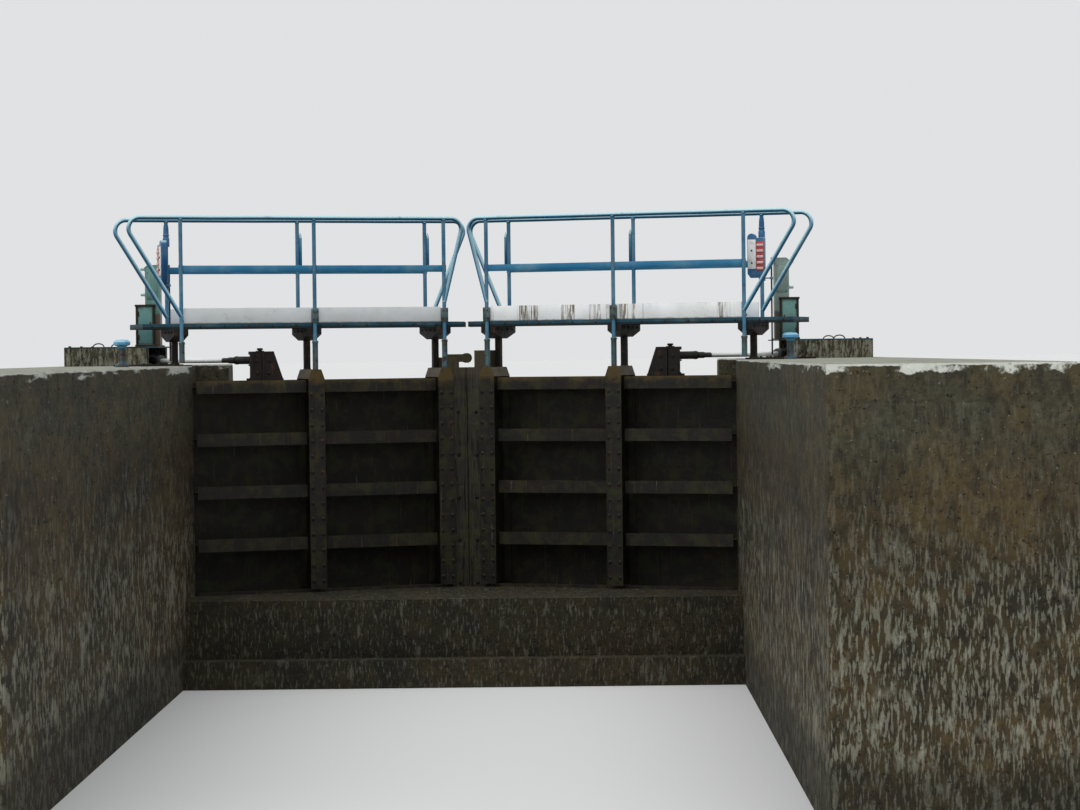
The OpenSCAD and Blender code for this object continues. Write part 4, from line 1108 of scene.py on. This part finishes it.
def paddle_gear(s, turn):
    """Arched housing with a white plate and a red rack, collars and a cap round the post, and a rod."""
    height = s.gear_h
    heel_edge = -0.045
    mitre_edge = heel_edge + s.gear_w
    arch_r = 0.042
    front = -s.post_r - SEAM - s.gear_d
    rack_x0 = heel_edge + 0.002
    rack_x1 = rack_x0 + 0.076
    plate_x0 = rack_x1 + 0.004
    plate_x1 = mitre_edge - 0.006
    ring_r = s.post_r + 0.014
    arch = mitre_edge - arch_r
    swing = np.linspace(0, np.pi, 13)
    hump = np.stack([arch + arch_r * np.cos(swing), height + arch_r * np.sin(swing)], -1)
    foot = [[heel_edge, 0.012], [heel_edge + 0.030, -0.028], [mitre_edge - 0.030, -0.028],
            [mitre_edge, 0.012]]
    outline = np.vstack([foot, hump, [[heel_edge + 0.006, height], [heel_edge, height - 0.006]]])
    housing = upright(outline, front + s.gear_d, s.gear_d, 0.005, 3)
    plate_outline = box_outline(plate_x0, plate_x1, 0.058, height - 0.018, 0.008, 3)
    plate = upright(plate_outline, front + 0.002, 0.008, 0.002)
    rack_outline = box_outline(rack_x0, rack_x1, 0.040, height - 0.036, 0.006, 3)
    rack = upright(rack_outline, front + 0.001, 0.006, 0.002)
    parts = [(housing, "gear_paint"), (plate, "gear_plate"), (rack, "gear_rack")]
    teeth = 5
    pitch = (height - 0.080) / teeth
    tooth_h = 0.45 * pitch
    tooth_outline = box_outline(rack_x0 + 0.006, rack_x1 - 0.004, 0, tooth_h, 0.007, 3)
    tooth = upright(tooth_outline, front - 0.001, 0.013, 0.005, 3)
    parts.append((repeated(tooth, [(0, 0, 0.050 + i * pitch) for i in range(teeth)]), "gear_teeth"))
    centre = (plate_x0 + plate_x1) / 2
    heads = [(centre, front - 0.006, z) for z in (0.115, 0.235)]
    parts.append(small_bolts(0.009, DOWNSTREAM, heads))
    groove = ring_r - 0.004
    lower = [(-0.058, groove), (-0.052, ring_r), (-0.030, ring_r), (-0.027, groove), (-0.022, groove),
             (-0.019, ring_r), (0.002, ring_r)]
    upper = [(-0.020, ring_r), (0.060, ring_r), (0.066, ring_r - 0.005), (0.084, ring_r - 0.005),
             (0.092, ring_r - 0.002)]
    cap = smooth_profile([(0.092, ring_r - 0.002), (0.105, ring_r - 0.006), (0.150, s.post_r + 0.007),
                          (0.192, s.post_r + 0.003)])
    parts += [(turned(profile, foot=(0, 0, z), sides=32), "gear_paint")
              for profile, z in ((lower, 0), (upper, height), (cap, height))]
    rod_x, rod_y = -0.082, 0.045
    reach = math.hypot(rod_x, rod_y)
    arm = block((s.post_r + 0.004, -0.009, -0.036), (reach + 0.004, 0.009, -0.024), 0.002)
    eye = turned([(-0.042, 0.013), (-0.040, 0.015), (-0.020, 0.015), (-0.018, 0.013)])
    low = COPING_Z + 0.045 - DECK_Z - s.gear_rise
    rod = turned([(low, 0.006), (low + 0.004, 0.008), (0.160, 0.008), (0.170, 0.005)], sides=16)
    parts += [(moved(arm, turn=math.atan2(rod_y, rod_x)), "gear_paint"),
              (moved(eye, rod_x, rod_y), "gear_paint"), (moved(rod, rod_x, rod_y), "dark_rust")]
    return placed(parts, 0, s.rail_span / 2, DECK_Z + s.gear_rise, turn)


# Drive cabinets, bollards, copings


def drive_cabinet(s, name):
    """Two panelled boxes: rusty corner angles and rims, a door with hinges and a latch, a bevelled hood."""
    x0 = CABINET_BACK[name]
    hood_paint = {"left": "hood_green", "right": "hood_grey"}[name]
    depth, height = s.cabinet_d, s.cabinet_h
    rim = CABINET_RIM
    rim_h = 0.022
    angle_w = 0.022
    angle_t = 0.005
    set_back = 0.009
    bevel = 0.026
    x1 = x0 + s.cabinet_w
    body = block((x0 + set_back, set_back, 0), (x1 - set_back, depth - set_back, height), 0.003)
    door = block((x0 + 0.028, set_back - 0.005, 0.035), (x1 - 0.028, set_back + 0.002, height - 0.035))
    parts = [(body, "cabinet_paint"), (door, "cabinet_paint")]
    for x, way_x in ((x0, 1), (x1, -1)):
        for y, way_y in ((0.0, 1), (depth, -1)):
            for reach_x, reach_y in ((angle_w, angle_t), (angle_t, angle_w)):
                xs = sorted((x, x + way_x * reach_x))
                ys = sorted((y, y + way_y * reach_y))
                parts.append((block((xs[0], ys[0], 0), (xs[1], ys[1], height), 0.0015), "cabinet_frame"))
    for z in (0, height - rim_h):
        band = block((x0 - rim, -rim, z), (x1 + rim, depth + rim, z + rim_h), 0.004)
        parts.append((band, "cabinet_frame"))
    hinge = turned([(0, 0.005), (0.002, 0.006), (0.048, 0.006), (0.050, 0.005)], sides=12)
    places = [(x0 + 0.030, set_back - 0.006, z) for z in (0.07, height - 0.12)]
    parts.append((repeated(hinge, places), "cabinet_frame"))
    latch = block((x1 - 0.050, set_back - 0.014, 0.20), (x1 - 0.038, set_back - 0.003, 0.25), 0.003)
    parts.append((latch, "dark_rust"))
    hood_x0 = x1 - s.hood_w + 0.050
    hood_x1 = hood_x0 + s.hood_w
    top = height + s.hood_h
    eaves = top - bevel
    corners = [[hood_x0, 0], [hood_x1, 0], [hood_x1, eaves], [hood_x1 - bevel, top],
               [hood_x0 + bevel, top], [hood_x0, eaves]]
    hood = upright(rounded(corners, 0.004, 2), depth - 0.030, depth - 0.060, 0.004)
    skirt = eaves - 0.030
    under = [(0, skirt), (0, eaves), (-bevel, top)]
    over = [(0.003, skirt), (0.003, eaves + 0.001), (0.001 - bevel, top + 0.002)]
    lid_corners = [[hood_x1 + out, z] for out, z in under] + [[hood_x0 - out, z] for out, z in under[::-1]]
    lid_corners += [[hood_x0 - out, z] for out, z in over] + [[hood_x1 + out, z] for out, z in over[::-1]]
    lid = upright(lid_corners[::-1], depth - 0.026, depth - 0.052, 0.0005, 1)
    parts += [(hood, hood_paint), (lid, "cabinet_lid")]
    for z in (height + 0.100, top - 0.040):
        handle = block((hood_x0 - 0.048, 0.045, z - 0.014), (hood_x0 + 0.004, 0.090, z + 0.014), 0.008)
        foot = block((hood_x0 - 0.004, 0.038, z - 0.024), (hood_x0 + 0.002, 0.097, z + 0.024), 0.002)
        parts += [(handle, "cabinet_lid"), (foot, "cabinet_lid")]
    panel = block((hood_x0 + 0.020, 0.025, height + 0.050), (hood_x1 - 0.020, 0.034, top - 0.070), 0.003)
    parts.append((panel, hood_paint))
    screws = [(x, 0.025, z) for x in (hood_x0 + 0.028, hood_x1 - 0.028)
              for z in (height + 0.060, top - 0.080)]
    parts.append(small_bolts(0.005, DOWNSTREAM, screws))
    return placed(parts, y=s.ram_up, z=COVER_BOX[1].z)


def bollard():
    """Turned mushroom bollard with flowing curves, on a flange with six bolts."""
    stem = 0.033
    cap = 0.0775
    profile = smooth_profile([(0.000, stem + 0.032), (0.003, stem + 0.034), (0.016, stem + 0.031),
                              (0.040, stem + 0.001), (0.160, stem), (0.188, stem + 0.010),
                              (0.205, cap - 0.001), (0.228, cap), (0.248, 0.75 * cap),
                              (0.2548, 0.05 * cap)], 5)
    split = 0.170
    low = profile[profile[:, 0] <= split]
    high = profile[profile[:, 0] > split]
    foot = turned(np.vstack([low, high[:1]]), sides=48)
    head = turned(np.vstack([low[-1:], high]), sides=48)
    return [(foot, "bollard_stem"), (head, "bollard_paint"),
            small_bolts(0.007, UP, circle(6, stem + 0.024, 0.012))]


def bollards():
    """One bollard on each coping, where the photo shows them."""
    back = 0.5
    places = ((-CHAMBER_X - back, -1.25), (CHAMBER_X + back, -0.38))
    return [part for x, y in places for part in placed(bollard(), x, y, COPING_Z)]


def coping_plan(s, pit):
    """Left coping's closed outline: chamber face, quoin, recess, the open ram pit, and the bank side."""
    a = s.mitre_angle
    recess_x = -HEEL_X - s.skin_back - s.recess_gap
    recess_end = mitre_at(s, -s.skin_back, 0.003) + 0.110
    nose_x = -CHAMBER_X
    nose_r = s.quoin_r - 0.001
    nose_y = (nose_x + HEEL_X) * math.tan(a) - nose_r / math.cos(a)
    begin = math.atan2(-nose_r * math.cos(a), nose_r * math.sin(a))
    sweep = np.linspace(begin, -math.pi, 15)
    quoin = np.stack([-HEEL_X + s.quoin_r * np.cos(sweep), s.quoin_r * np.sin(sweep)], -1)
    outline = [[[BANK_X, DOWN_Y], [nose_x, DOWN_Y], [nose_x, nose_y]], quoin, [[recess_x, 0.0]]]
    if pit:
        pit_x = -HEEL_X - s.ram_back - s.pit_reach
        low, high = s.ram_up - s.pit_down, s.ram_up + s.pit_up
        outline.append([[recess_x, low], [pit_x, low], [pit_x, high], [recess_x, high]])
    outline.append([[recess_x, recess_end], [nose_x, recess_end], [nose_x, UP_Y], [BANK_X, UP_Y]])
    corners = np.vstack(outline)
    apart = np.hypot(*np.diff(corners, axis=0).T) > 1e-4
    return np.vstack([corners[:1], corners[1:][apart], corners[:1]])


def coping(s, seed):
    """Coping slab with a chipped top edge: depth = chip (c(2.2 r1 - 0.15) + 0.12 (1 + r2)) / 1.24.

    r1 and r2 are ripples along the edge, c keeps a value between 0 and 1, and the rings of points
    near the top take growing shares of the depth.
    """
    plan, run = (values[:-1] for values in resampled(coping_plan(s, True), 0.022))
    chips = np.clip(ripple(run, seed, 14, 0.06, 0.9) * 2.2 - 0.15, 0, 1)
    crumbs = 0.12 * (1 + ripple(run, seed + 1, 9, 0.03, 0.12))
    depth = s.chip_depth * (chips + crumbs) / 1.24
    inner = (plan[:, 0] > BANK_X + 0.01) & (plan[:, 1] < UP_Y - 0.01)
    depth = np.where(inner, depth, 0.004)
    shelf = COPING_Z - s.shelf_drop
    slump = 0.006 * (1 + ripple(run, seed + 2, 8, 0.1, 0.6))
    rings = []
    for down, share in ((s.shelf_drop, 0.0), (0.060, 0.02), (0.036, 0.16), (0.020, 0.42), (0.009, 0.74),
                        (0.002, 0.96), (0.0, 1.12)):
        drop = slump * share * (down > 0)
        rings.append(np.column_stack([inset(plan, depth * share), COPING_Z - down - drop]))
    top = np.vstack(rings), ring_faces(len(rings), len(plan))
    base, _ = resampled(coping_plan(s, False), 0.25)
    return joined([top, slab(base[:-1], COPING_FOOT_Z, shelf, 0.0002, 1)])


# Fastenings


def leaf_bolts(s):
    """Bolts down the frames and the mitre post, and domed ones over the skin's back beside the paddle."""
    pitch = post_pitch(s)
    z_low = LEAF_FOOT_Z + 0.12
    aside = s.frame_w / 2 - 0.030
    front = [(x + side * aside, -s.frame_front, z) for x in (pitch, 2 * pitch)
             for z in np.arange(z_low + 0.08, FRAME_TOP_Z - 0.12, s.bolt_pitch) for side in (-1, 1)]
    post_x = (2 * pitch + s.frame_w / 2 + mitre_at(s, s.mitre_front, 0.003)) / 2
    coach = [(post_x, -s.mitre_front, z) for z in np.arange(z_low, FRAME_TOP_Z - 0.1, s.coach_pitch)]
    low, high = LEAF_FOOT_Z + 0.06, LEAF_TOP_Z - 0.06
    paddle_x = (0.30, 1.08)
    paddle_z = (LEAF_FOOT_Z + 0.10, LEAF_FOOT_Z + 0.62)
    back = [(x, s.skin_back, z) for z in np.linspace(low, high, 5)
            for x in np.arange(0.22, 2 * pitch, s.skin_pitch)
            if not (paddle_x[0] < x < paddle_x[1] and paddle_z[0] < z < paddle_z[1])]
    dome = turned([(0, 0.013), (0.004, 0.012), (0.008, 0.008), (0.010, 0.002)], along=(0, 1, 0), sides=10)
    return [bolts(s, DOWNSTREAM, front + coach), (repeated(dome, back), "leaf_steel")]


def weld_bead(path, r, seed):
    """Bead along a straight path: radius r (1 + 0.2 sin(2 pi l / 12 mm) + 0.1 ripple(l))."""
    path = np.asarray(path, float)
    reach = np.linalg.norm(path[1] - path[0])
    steps = max(int(reach / 0.006), 4)
    l = np.linspace(0, reach, steps)
    radius = r * (1 + 0.2 * np.sin(2 * np.pi * l / 0.012) + 0.1 * ripple(l, seed, 4, 0.03, 0.2))
    return turned(np.stack([l, radius], -1), path[0], (path[1] - path[0]) / reach, sides=6)


def leaf_welds(s):
    """Weld beads where the props stand on the frames and where the webs meet the frames' flanges."""
    pitch = post_pitch(s)
    r = 0.006
    z = FRAME_TOP_Z
    half = s.prop_w / 2
    corners = np.array([(-half, -half, z), (half, -half, z), (half, half, z), (-half, half, z)])
    parts = []
    for i, x in enumerate((pitch, 2 * pitch)):
        for n in range(4):
            line = corners[[n, (n + 1) % 4]] + (x, 0, 0)
            parts.append(weld_bead(line, r, 40 + 4 * i + n))
        for side in (-1, 1):
            web = x + side * 0.008
            line = [(web, -s.frame_front + 0.014, height) for height in (LEAF_FOOT_Z + 0.13, z - 0.1)]
            parts.append(weld_bead(line, r, 60 + 2 * i + side))
    return [(joined(parts), "leaf_steel")]


def lug_bolts(s):
    """Bolts on the ram lug's base and face, a nut and washer on its pin, and weld beads on its ribs."""
    z = LEAF_TOP_Z + 0.020
    x0 = s.lug_x - s.lug_heel
    base = [(x0 + along, 0.045, z) for along in (0.035, 0.160, 0.285)]
    nut = turned([(0, 0.030), (0.016, 0.030), (0.020, 0.024)], (s.lug_x, 0, COPING_Z + 0.142), sides=6)
    washer = turned([(0, 0.040), (0.004, 0.042), (0.006, 0.038)], (s.lug_x, 0, COPING_Z + 0.130))
    beads = [weld_bead([(x, -0.112, z + 0.004), (x, -0.112, COPING_Z + 0.10)], 0.005, 80 + n)
             for n, x in enumerate((x0 + 0.020, s.lug_x + 0.010))]
    face = [(x, -0.110, zz) for x in (x0 + 0.060, s.lug_x + 0.060) for zz in (z + 0.05, z + 0.17)]
    return [bolts(s, UP, base), (joined([nut, washer] + beads), "dark_rust"),
            bolts(s, DOWNSTREAM, face)]


def deck_tail(s, name):
    """Length of a deck behind the heel axis, from the reach of its bank corner."""
    corner = deck_edge(s) * math.sin(s.mitre_angle)
    return (-HEEL_X - DECK_END[name] - corner) / math.cos(s.mitre_angle)


def deck_edge(s):
    """From a walkway's centre line to the edge of its deck, just inside the posts."""
    return s.rail_span / 2 - s.post_r - SEAM


def walkway_bolts(s, name):
    """Bolts along the deck's edge angles and through the walkway's support beams."""
    pitch = post_pitch(s)
    z = (DECK_Z + DECK_FOOT_Z) / 2
    spots = [x for x in np.arange(-deck_tail(s, name) + 0.09, 2 * pitch + 0.1, s.deck_pitch)
             if min(abs(x - i * pitch) for i in range(3)) > 0.05]
    edge = deck_edge(s)
    parts = [small_bolts(0.009, (0, row, 0), [(x, row * edge, z) for x in spots]) for row in (-1, 1)]
    for i in range(3):
        for side in (-1, 1):
            face = i * pitch + side * 0.070
            places = [(face, y, DECK_FOOT_Z - 0.030) for y in (-0.20, -0.07, 0.07, 0.20)]
            parts.append(small_bolts(0.010, (side, 0, 0), places))
    return parts


def lozenges(x, y, z, way, clear=None):
    """Lozenges turned 45 degrees one way, where the lines x and y cross outside the box `clear`."""
    points, faces = turned([(0, 1.0), (0.55, 0.86), (0.9, 0.5), (1.0, 0.08)], sides=8)
    grid = np.stack(np.meshgrid(x, y), -1).reshape(-1, 2)
    if clear is not None:
        grid = grid[~np.all((grid > clear[0]) & (grid < clear[1]), axis=1)]
    places = np.column_stack([grid, np.full(len(grid), z)])
    return repeated(moved((points * LOZENGE, faces), turn=way * math.pi / 4), places)


def tread_plate(s, name):
    """Raised lozenges of a chequer plate, in two slanted sets, over the walkway between the toe boards."""
    half_w = s.rail_span / 2 - s.post_r - s.toe_t - 0.020
    end = mitre_at(s, s.rail_span / 2, 0.045)
    step = 0.040
    parts = []
    for n, way in enumerate((1, -1)):
        x = np.arange(-deck_tail(s, name) + 0.03 + n * step / 2, end, step)
        y = np.arange(-half_w, half_w, step) + n * step / 2
        parts.append(lozenges(x, y[y < half_w], DECK_Z, way))
    return [(joined(parts), "tread_steel")]


def ram_fittings(s):
    """Gland ring with bolts on the cylinder's nose, and two hose ports."""
    _, _, run = ram_seat(s)
    nose = run - s.ram_nose
    gland = turned([(0, 0.034), (0.002, 0.050), (0.004, 0.0535), (0.020, 0.0535), (0.022, 0.0575),
                    (0.044, 0.0575), (0.047, 0.0552)], (nose - 0.020, 0, 0), (1, 0, 0), sides=40)
    heads = circle(8, 0.044, nose - 0.016)[:, [2, 0, 1]]
    port = turned([(0, 0.016), (0.020, 0.016), (0.022, 0.011), (0.040, 0.011), (0.042, 0.009)], sides=6)
    ports = repeated(port, [(x, 0, 0.050) for x in (nose + 0.060, run + 0.45)])
    return [(gland, "ram_paint"), small_bolts(0.006, (-1, 0, 0), heads), (ports, "dark_rust")]


def rod_fittings(s):
    """Lock collar where the rod screws into its thick end, and a grease nipple on the eye."""
    collar = turned([(-0.030, 0.039), (-0.028, 0.041), (-0.004, 0.041), (0.000, 0.036)],
                    (s.rod_start, 0, 0), (1, 0, 0), sides=32)
    nipple = turned([(0, 0.006), (0.006, 0.006), (0.008, 0.003), (0.014, 0.003)], sides=8)
    return [(collar, "dark_rust"), (moved(nipple, 0.055, 0, 0.030), "bare_steel")]


def anchor_bolts(s):
    """Holding-down bolts with square washers along the two straps of the heel post's collar."""
    half = 0.026
    washer = block((-half, -half, 0), (half, half, 0.005), 0.001)
    bolt = joined([washer, bolt_head(s, UP, washer=False)])
    strap_turns = (165, 250)
    reaches = (0.17, 0.32, 0.50)
    parts = [moved(moved(bolt, reach, 0, COPING_Z + 0.016), turn=math.radians(turn))
             for turn in strap_turns for reach in reaches]
    return [(moved(joined(parts), x=-HEEL_X), "dark_rust")]


def cover_fittings(s):
    """Pit cover: chequer lozenges, bolts along two edges, and two lifting handles bent from round bar."""
    low, high = COVER_BOX
    step = 0.05
    cabinet = ((-HEEL_X - 0.65, s.ram_up - 0.02), (-HEEL_X - 0.36, s.ram_up + 0.26))
    parts = []
    for n, way in enumerate((1, -1)):
        x = np.arange(low.x + 0.04 + n * step / 2, high.x - 0.03, step)
        y = np.arange(low.y + 0.04 + n * step / 2, high.y - 0.03, step)
        parts.append(lozenges(x, y, high.z, way, cabinet))
    edges = [(x, y, high.z) for x in (low.x + step, high.x - step)
             for y in (low.y + step, (low.y + high.y) / 2, high.y - step)]
    turn = np.linspace(0, np.pi, 13)
    bow = np.stack([0.055 * np.cos(turn), np.zeros(13), 0.035 * np.sin(turn)], -1)
    middle = (low.x + high.x) / 2 - 0.15
    handles = repeated(tube(bow, 0.006, 12), [(middle, y, high.z) for y in (low.y + 0.16, high.y - 0.16)])
    return [(joined(parts), "tread_steel"), bolts(s, UP, edges), (handles, "dark_rust")]


# Operators


def sizes():
    """Sizes from the panel."""
    return bpy.context.scene.gate_sizes


def on_bank(_, shape, side):
    return set_out(shape, side)


def both_sides(label, parts_of, body, seat=on_leaf, hides=()):
    """A left and a right piece from parts in a left-hand piece's own axes."""
    s = sizes()
    for name, side in SIDES.items():
        parts = [(seat(s, shape, side), finish) for shape, finish in parts_of(s, name)]
        rides = body if body in frame["bodies"] else f"{name}_{body}"
        make_piece(f"{name}_{label}", parts, rides, [f"{name}_{node}" for node in hides])


class GATE_OT_railings(bpy.types.Operator):
    """Bent tube railings with posts, flat mid rails, clamps, thick feet and capped sleeves"""

    bl_idname = "gate.railings"
    bl_label = "Railings"

    def execute(self, context):
        both_sides("near_guard_rail", lambda s, _: near_railing(s), "leaf",
                   hides=["near_railing"])
        both_sides("far_guard_rail", lambda s, _: far_railing(s), "leaf",
                   hides=["far_railing"])
        return {"FINISHED"}


class GATE_OT_toe_boards(bpy.types.Operator):
    """Toe boards, grey on the left leaf and white on the right"""

    bl_idname = "gate.toe_boards"
    bl_label = "Toe boards"

    def execute(self, context):
        paint = {"left": "board_grey", "right": "board_white"}
        both_sides("kick_boards", lambda s, name: toe_boards(s, paint[name]), "leaf",
                   hides=["toe_boards"])
        return {"FINISHED"}


class GATE_OT_paddle_gears(bpy.types.Operator):
    """Hand gears on the far heel posts"""

    bl_idname = "gate.paddle_gears"
    bl_label = "Paddle gears"

    def execute(self, context):
        turn = {"left": sizes().gear_turn, "right": 0.0}
        both_sides("hand_gear", lambda s, name: paddle_gear(s, turn[name]), "leaf",
                   hides=["paddle_gear"])
        return {"FINISHED"}


class GATE_OT_cabinets(bpy.types.Operator):
    """Drive cabinets on the pit covers"""

    bl_idname = "gate.cabinets"
    bl_label = "Drive cabinets"

    def execute(self, context):
        both_sides("ram_cabinet", drive_cabinet, "lock_head", on_bank, ["drive_cabinet"])
        return {"FINISHED"}


class GATE_OT_bollards(bpy.types.Operator):
    """Mooring bollards on the copings"""

    bl_idname = "gate.bollards"
    bl_label = "Bollards"

    def execute(self, context):
        make_piece("mooring_bollards", bollards(), "lock_head", ["bollards"])
        return {"FINISHED"}


class GATE_OT_copings(bpy.types.Operator):
    """Copings with chipped edges"""

    bl_idname = "gate.copings"
    bl_label = "Copings"

    def execute(self, context):
        seeds = {"left": 101, "right": 211}
        both_sides("chipped_coping", lambda s, name: [(coping(s, seeds[name]), "coping_concrete")],
                   "lock_head", on_bank, ["coping"])
        return {"FINISHED"}


class GATE_OT_fastenings(bpy.types.Operator):
    """Bolts, welds and lug fastenings of the leaves, and the anchors' bolts"""

    bl_idname = "gate.fastenings"
    bl_label = "Fastenings"

    def execute(self, context):
        both_sides("leaf_bolts", lambda s, _: leaf_bolts(s), "leaf")
        both_sides("leaf_welds", lambda s, _: leaf_welds(s), "leaf")
        both_sides("lug_bolts", lambda s, _: lug_bolts(s), "leaf")
        both_sides("walkway_bolts", walkway_bolts, "leaf")
        both_sides("anchor_bolts", lambda s, _: anchor_bolts(s), "lock_head", on_bank)
        return {"FINISHED"}


class GATE_OT_treads(bpy.types.Operator):
    """Chequer plate on the walkways and the pit covers"""

    bl_idname = "gate.treads"
    bl_label = "Tread plates"

    def execute(self, context):
        both_sides("tread_plate", tread_plate, "leaf")
        both_sides("cover_fittings", lambda s, _: cover_fittings(s), "lock_head", on_bank)
        return {"FINISHED"}


class GATE_OT_ram_fittings(bpy.types.Operator):
    """Glands, ports and collars of the rams"""

    bl_idname = "gate.ram_fittings"
    bl_label = "Ram fittings"

    def execute(self, context):
        both_sides("ram_gland", lambda s, _: ram_fittings(s), "cylinder", on_ram)
        both_sides("rod_collar", lambda s, _: rod_fittings(s), "rod", on_ram)
        return {"FINISHED"}


class GATE_OT_node_finishes(bpy.types.Operator):
    """Finishes of the model's own pieces"""

    bl_idname = "gate.node_finishes"
    bl_label = "Steel, timber and concrete"

    def execute(self, context):
        for node, item in frame["nodes"].items():
            side, _, rest = node.partition("_")
            kind = rest if side in SIDES else node
            finish = f"{side}_rod" if kind == "ram_rod" else NODE_FINISHES.get(kind)
            if finish is None:
                continue
            item.data.materials.clear()
            item.data.materials.append(finish_named(finish))
        return {"FINISHED"}


class GATE_OT_stage(bpy.types.Operator):
    """Pale floor, even sky light, soft lamps and the camera"""

    bl_idname = "gate.stage"
    bl_label = "Stage"

    def execute(self, context):
        values = context.scene.gate_stage
        c = context.scene.gate_colours
        make_floor(c)
        make_sky(values, c)
        soft_sun("soft_sky_lamp", values.key, (math.radians(12), math.radians(-8), 0.0))
        soft_sun("soft_front_lamp", values.fill, (math.radians(62), 0.0, math.radians(-20)))
        make_camera(values)
        context.scene.view_settings.view_transform = "Standard"
        return {"FINISHED"}


def make_floor(c):
    """Round floor: points r(i) (cos t, sin t) on rings that spread out, a millimetre below the part."""
    sides = 96
    rings = np.geomspace(2.0, 900.0, 12)
    points = np.vstack([circle(sides, r, -0.001) for r in rings])
    quads = ring_faces(len(rings), sides)[:-2] + [np.arange(sides).tolist()]
    mesh = bpy.data.meshes.new("stage_floor")
    mesh.from_pydata(points.tolist(), [], quads)
    coat = Coat("stage_floor")
    coat.shader.inputs["Base Color"].default_value = c.floor
    coat.shader.inputs["Roughness"].default_value = 0.9
    mesh.materials.append(coat.material)
    floor = bpy.data.objects.new("stage_floor", mesh)
    bpy.context.scene.collection.objects.link(floor)


def make_sky(values, c):
    """Even light all round; cameras, mirrors and glass see the pale backdrop colour instead."""
    world = bpy.data.worlds.new("pale_sky")
    world.use_nodes = True
    bpy.context.scene.world = world
    tree = world.node_tree
    tree.nodes.clear()
    rays = tree.nodes.new("ShaderNodeLightPath").outputs
    mirrored = maths(tree, "MAXIMUM", rays["Is Glossy Ray"], rays["Is Transmission Ray"])
    seen = maths(tree, "MAXIMUM", rays["Is Camera Ray"], mirrored)
    light = put(tree, "ShaderNodeBackground", Color=(0.93, 0.97, 1.0, 1.0), Strength=values.sky)
    shown = put(tree, "ShaderNodeBackground", Color=c.backdrop, Strength=0.96)
    mix = tree.nodes.new("ShaderNodeMixShader")
    tree.links.new(seen, mix.inputs[0])
    tree.links.new(light.outputs[0], mix.inputs[1])
    tree.links.new(shown.outputs[0], mix.inputs[2])
    out = tree.nodes.new("ShaderNodeOutputWorld")
    tree.links.new(mix.outputs[0], out.inputs[0])


def soft_sun(name, strength, turn):
    """Lamp as wide as a good part of the sky, so that its shadows are soft."""
    lamp = bpy.data.lights.new(name, "SUN")
    lamp.energy = strength
    lamp.angle = math.radians(75)
    item = bpy.data.objects.new(name, lamp)
    item.rotation_euler = turn
    bpy.context.scene.collection.objects.link(item)


def make_camera(values):
    """Camera at the photo's place, turned by yaw about Z, pitch about X and roll about its own axis."""
    lens = bpy.data.cameras.new("photo_camera")
    lens.lens = values.lens
    lens.sensor_width = 36
    lens.clip_end = 2000
    camera = bpy.data.objects.new("photo_camera", lens)
    look = (Matrix.Rotation(values.yaw, 4, "Z") @ Matrix.Rotation(math.pi / 2 - values.pitch, 4, "X")
            @ Matrix.Rotation(-values.roll, 4, "Z"))
    place = Matrix.Translation((values.camera_x, -values.camera_back, values.camera_z))
    camera.matrix_world = place @ look
    bpy.context.scene.collection.objects.link(camera)
    bpy.context.scene.camera = camera


OPERATORS = (
    GATE_OT_node_finishes, GATE_OT_copings, GATE_OT_railings, GATE_OT_toe_boards, GATE_OT_paddle_gears,
    GATE_OT_cabinets, GATE_OT_bollards, GATE_OT_fastenings, GATE_OT_treads, GATE_OT_ram_fittings,
    GATE_OT_stage,
)


class GATE_PT_panel(bpy.types.Panel):
    """Buttons for the gate's pieces and stage"""

    bl_label = "Lock gate"
    bl_idname = "GATE_PT_panel"
    bl_space_type = "VIEW_3D"
    bl_region_type = "UI"
    bl_category = "Lock gate"

    def draw(self, context):
        for operator in OPERATORS:
            self.layout.operator(operator.bl_idname)
        for group in (context.scene.gate_sizes, context.scene.gate_colours, context.scene.gate_stage):
            box = self.layout.box()
            for name in group.__annotations__:
                box.prop(group, name)


CLASSES = (GateSizes, GateColours, StageValues, *OPERATORS, GATE_PT_panel)


def register():
    for item in CLASSES:
        bpy.utils.register_class(item)
    bpy.types.Scene.gate_sizes = PointerProperty(type=GateSizes)
    bpy.types.Scene.gate_colours = PointerProperty(type=GateColours)
    bpy.types.Scene.gate_stage = PointerProperty(type=StageValues)


def unregister():
    del bpy.types.Scene.gate_stage
    del bpy.types.Scene.gate_colours
    del bpy.types.Scene.gate_sizes
    for item in reversed(CLASSES):
        bpy.utils.unregister_class(item)


def main():
    register()
    for operator in OPERATORS:
        group, name = operator.bl_idname.split(".")
        getattr(getattr(bpy.ops, group), name)()
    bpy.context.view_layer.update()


if __name__ == "__main__":
    main()
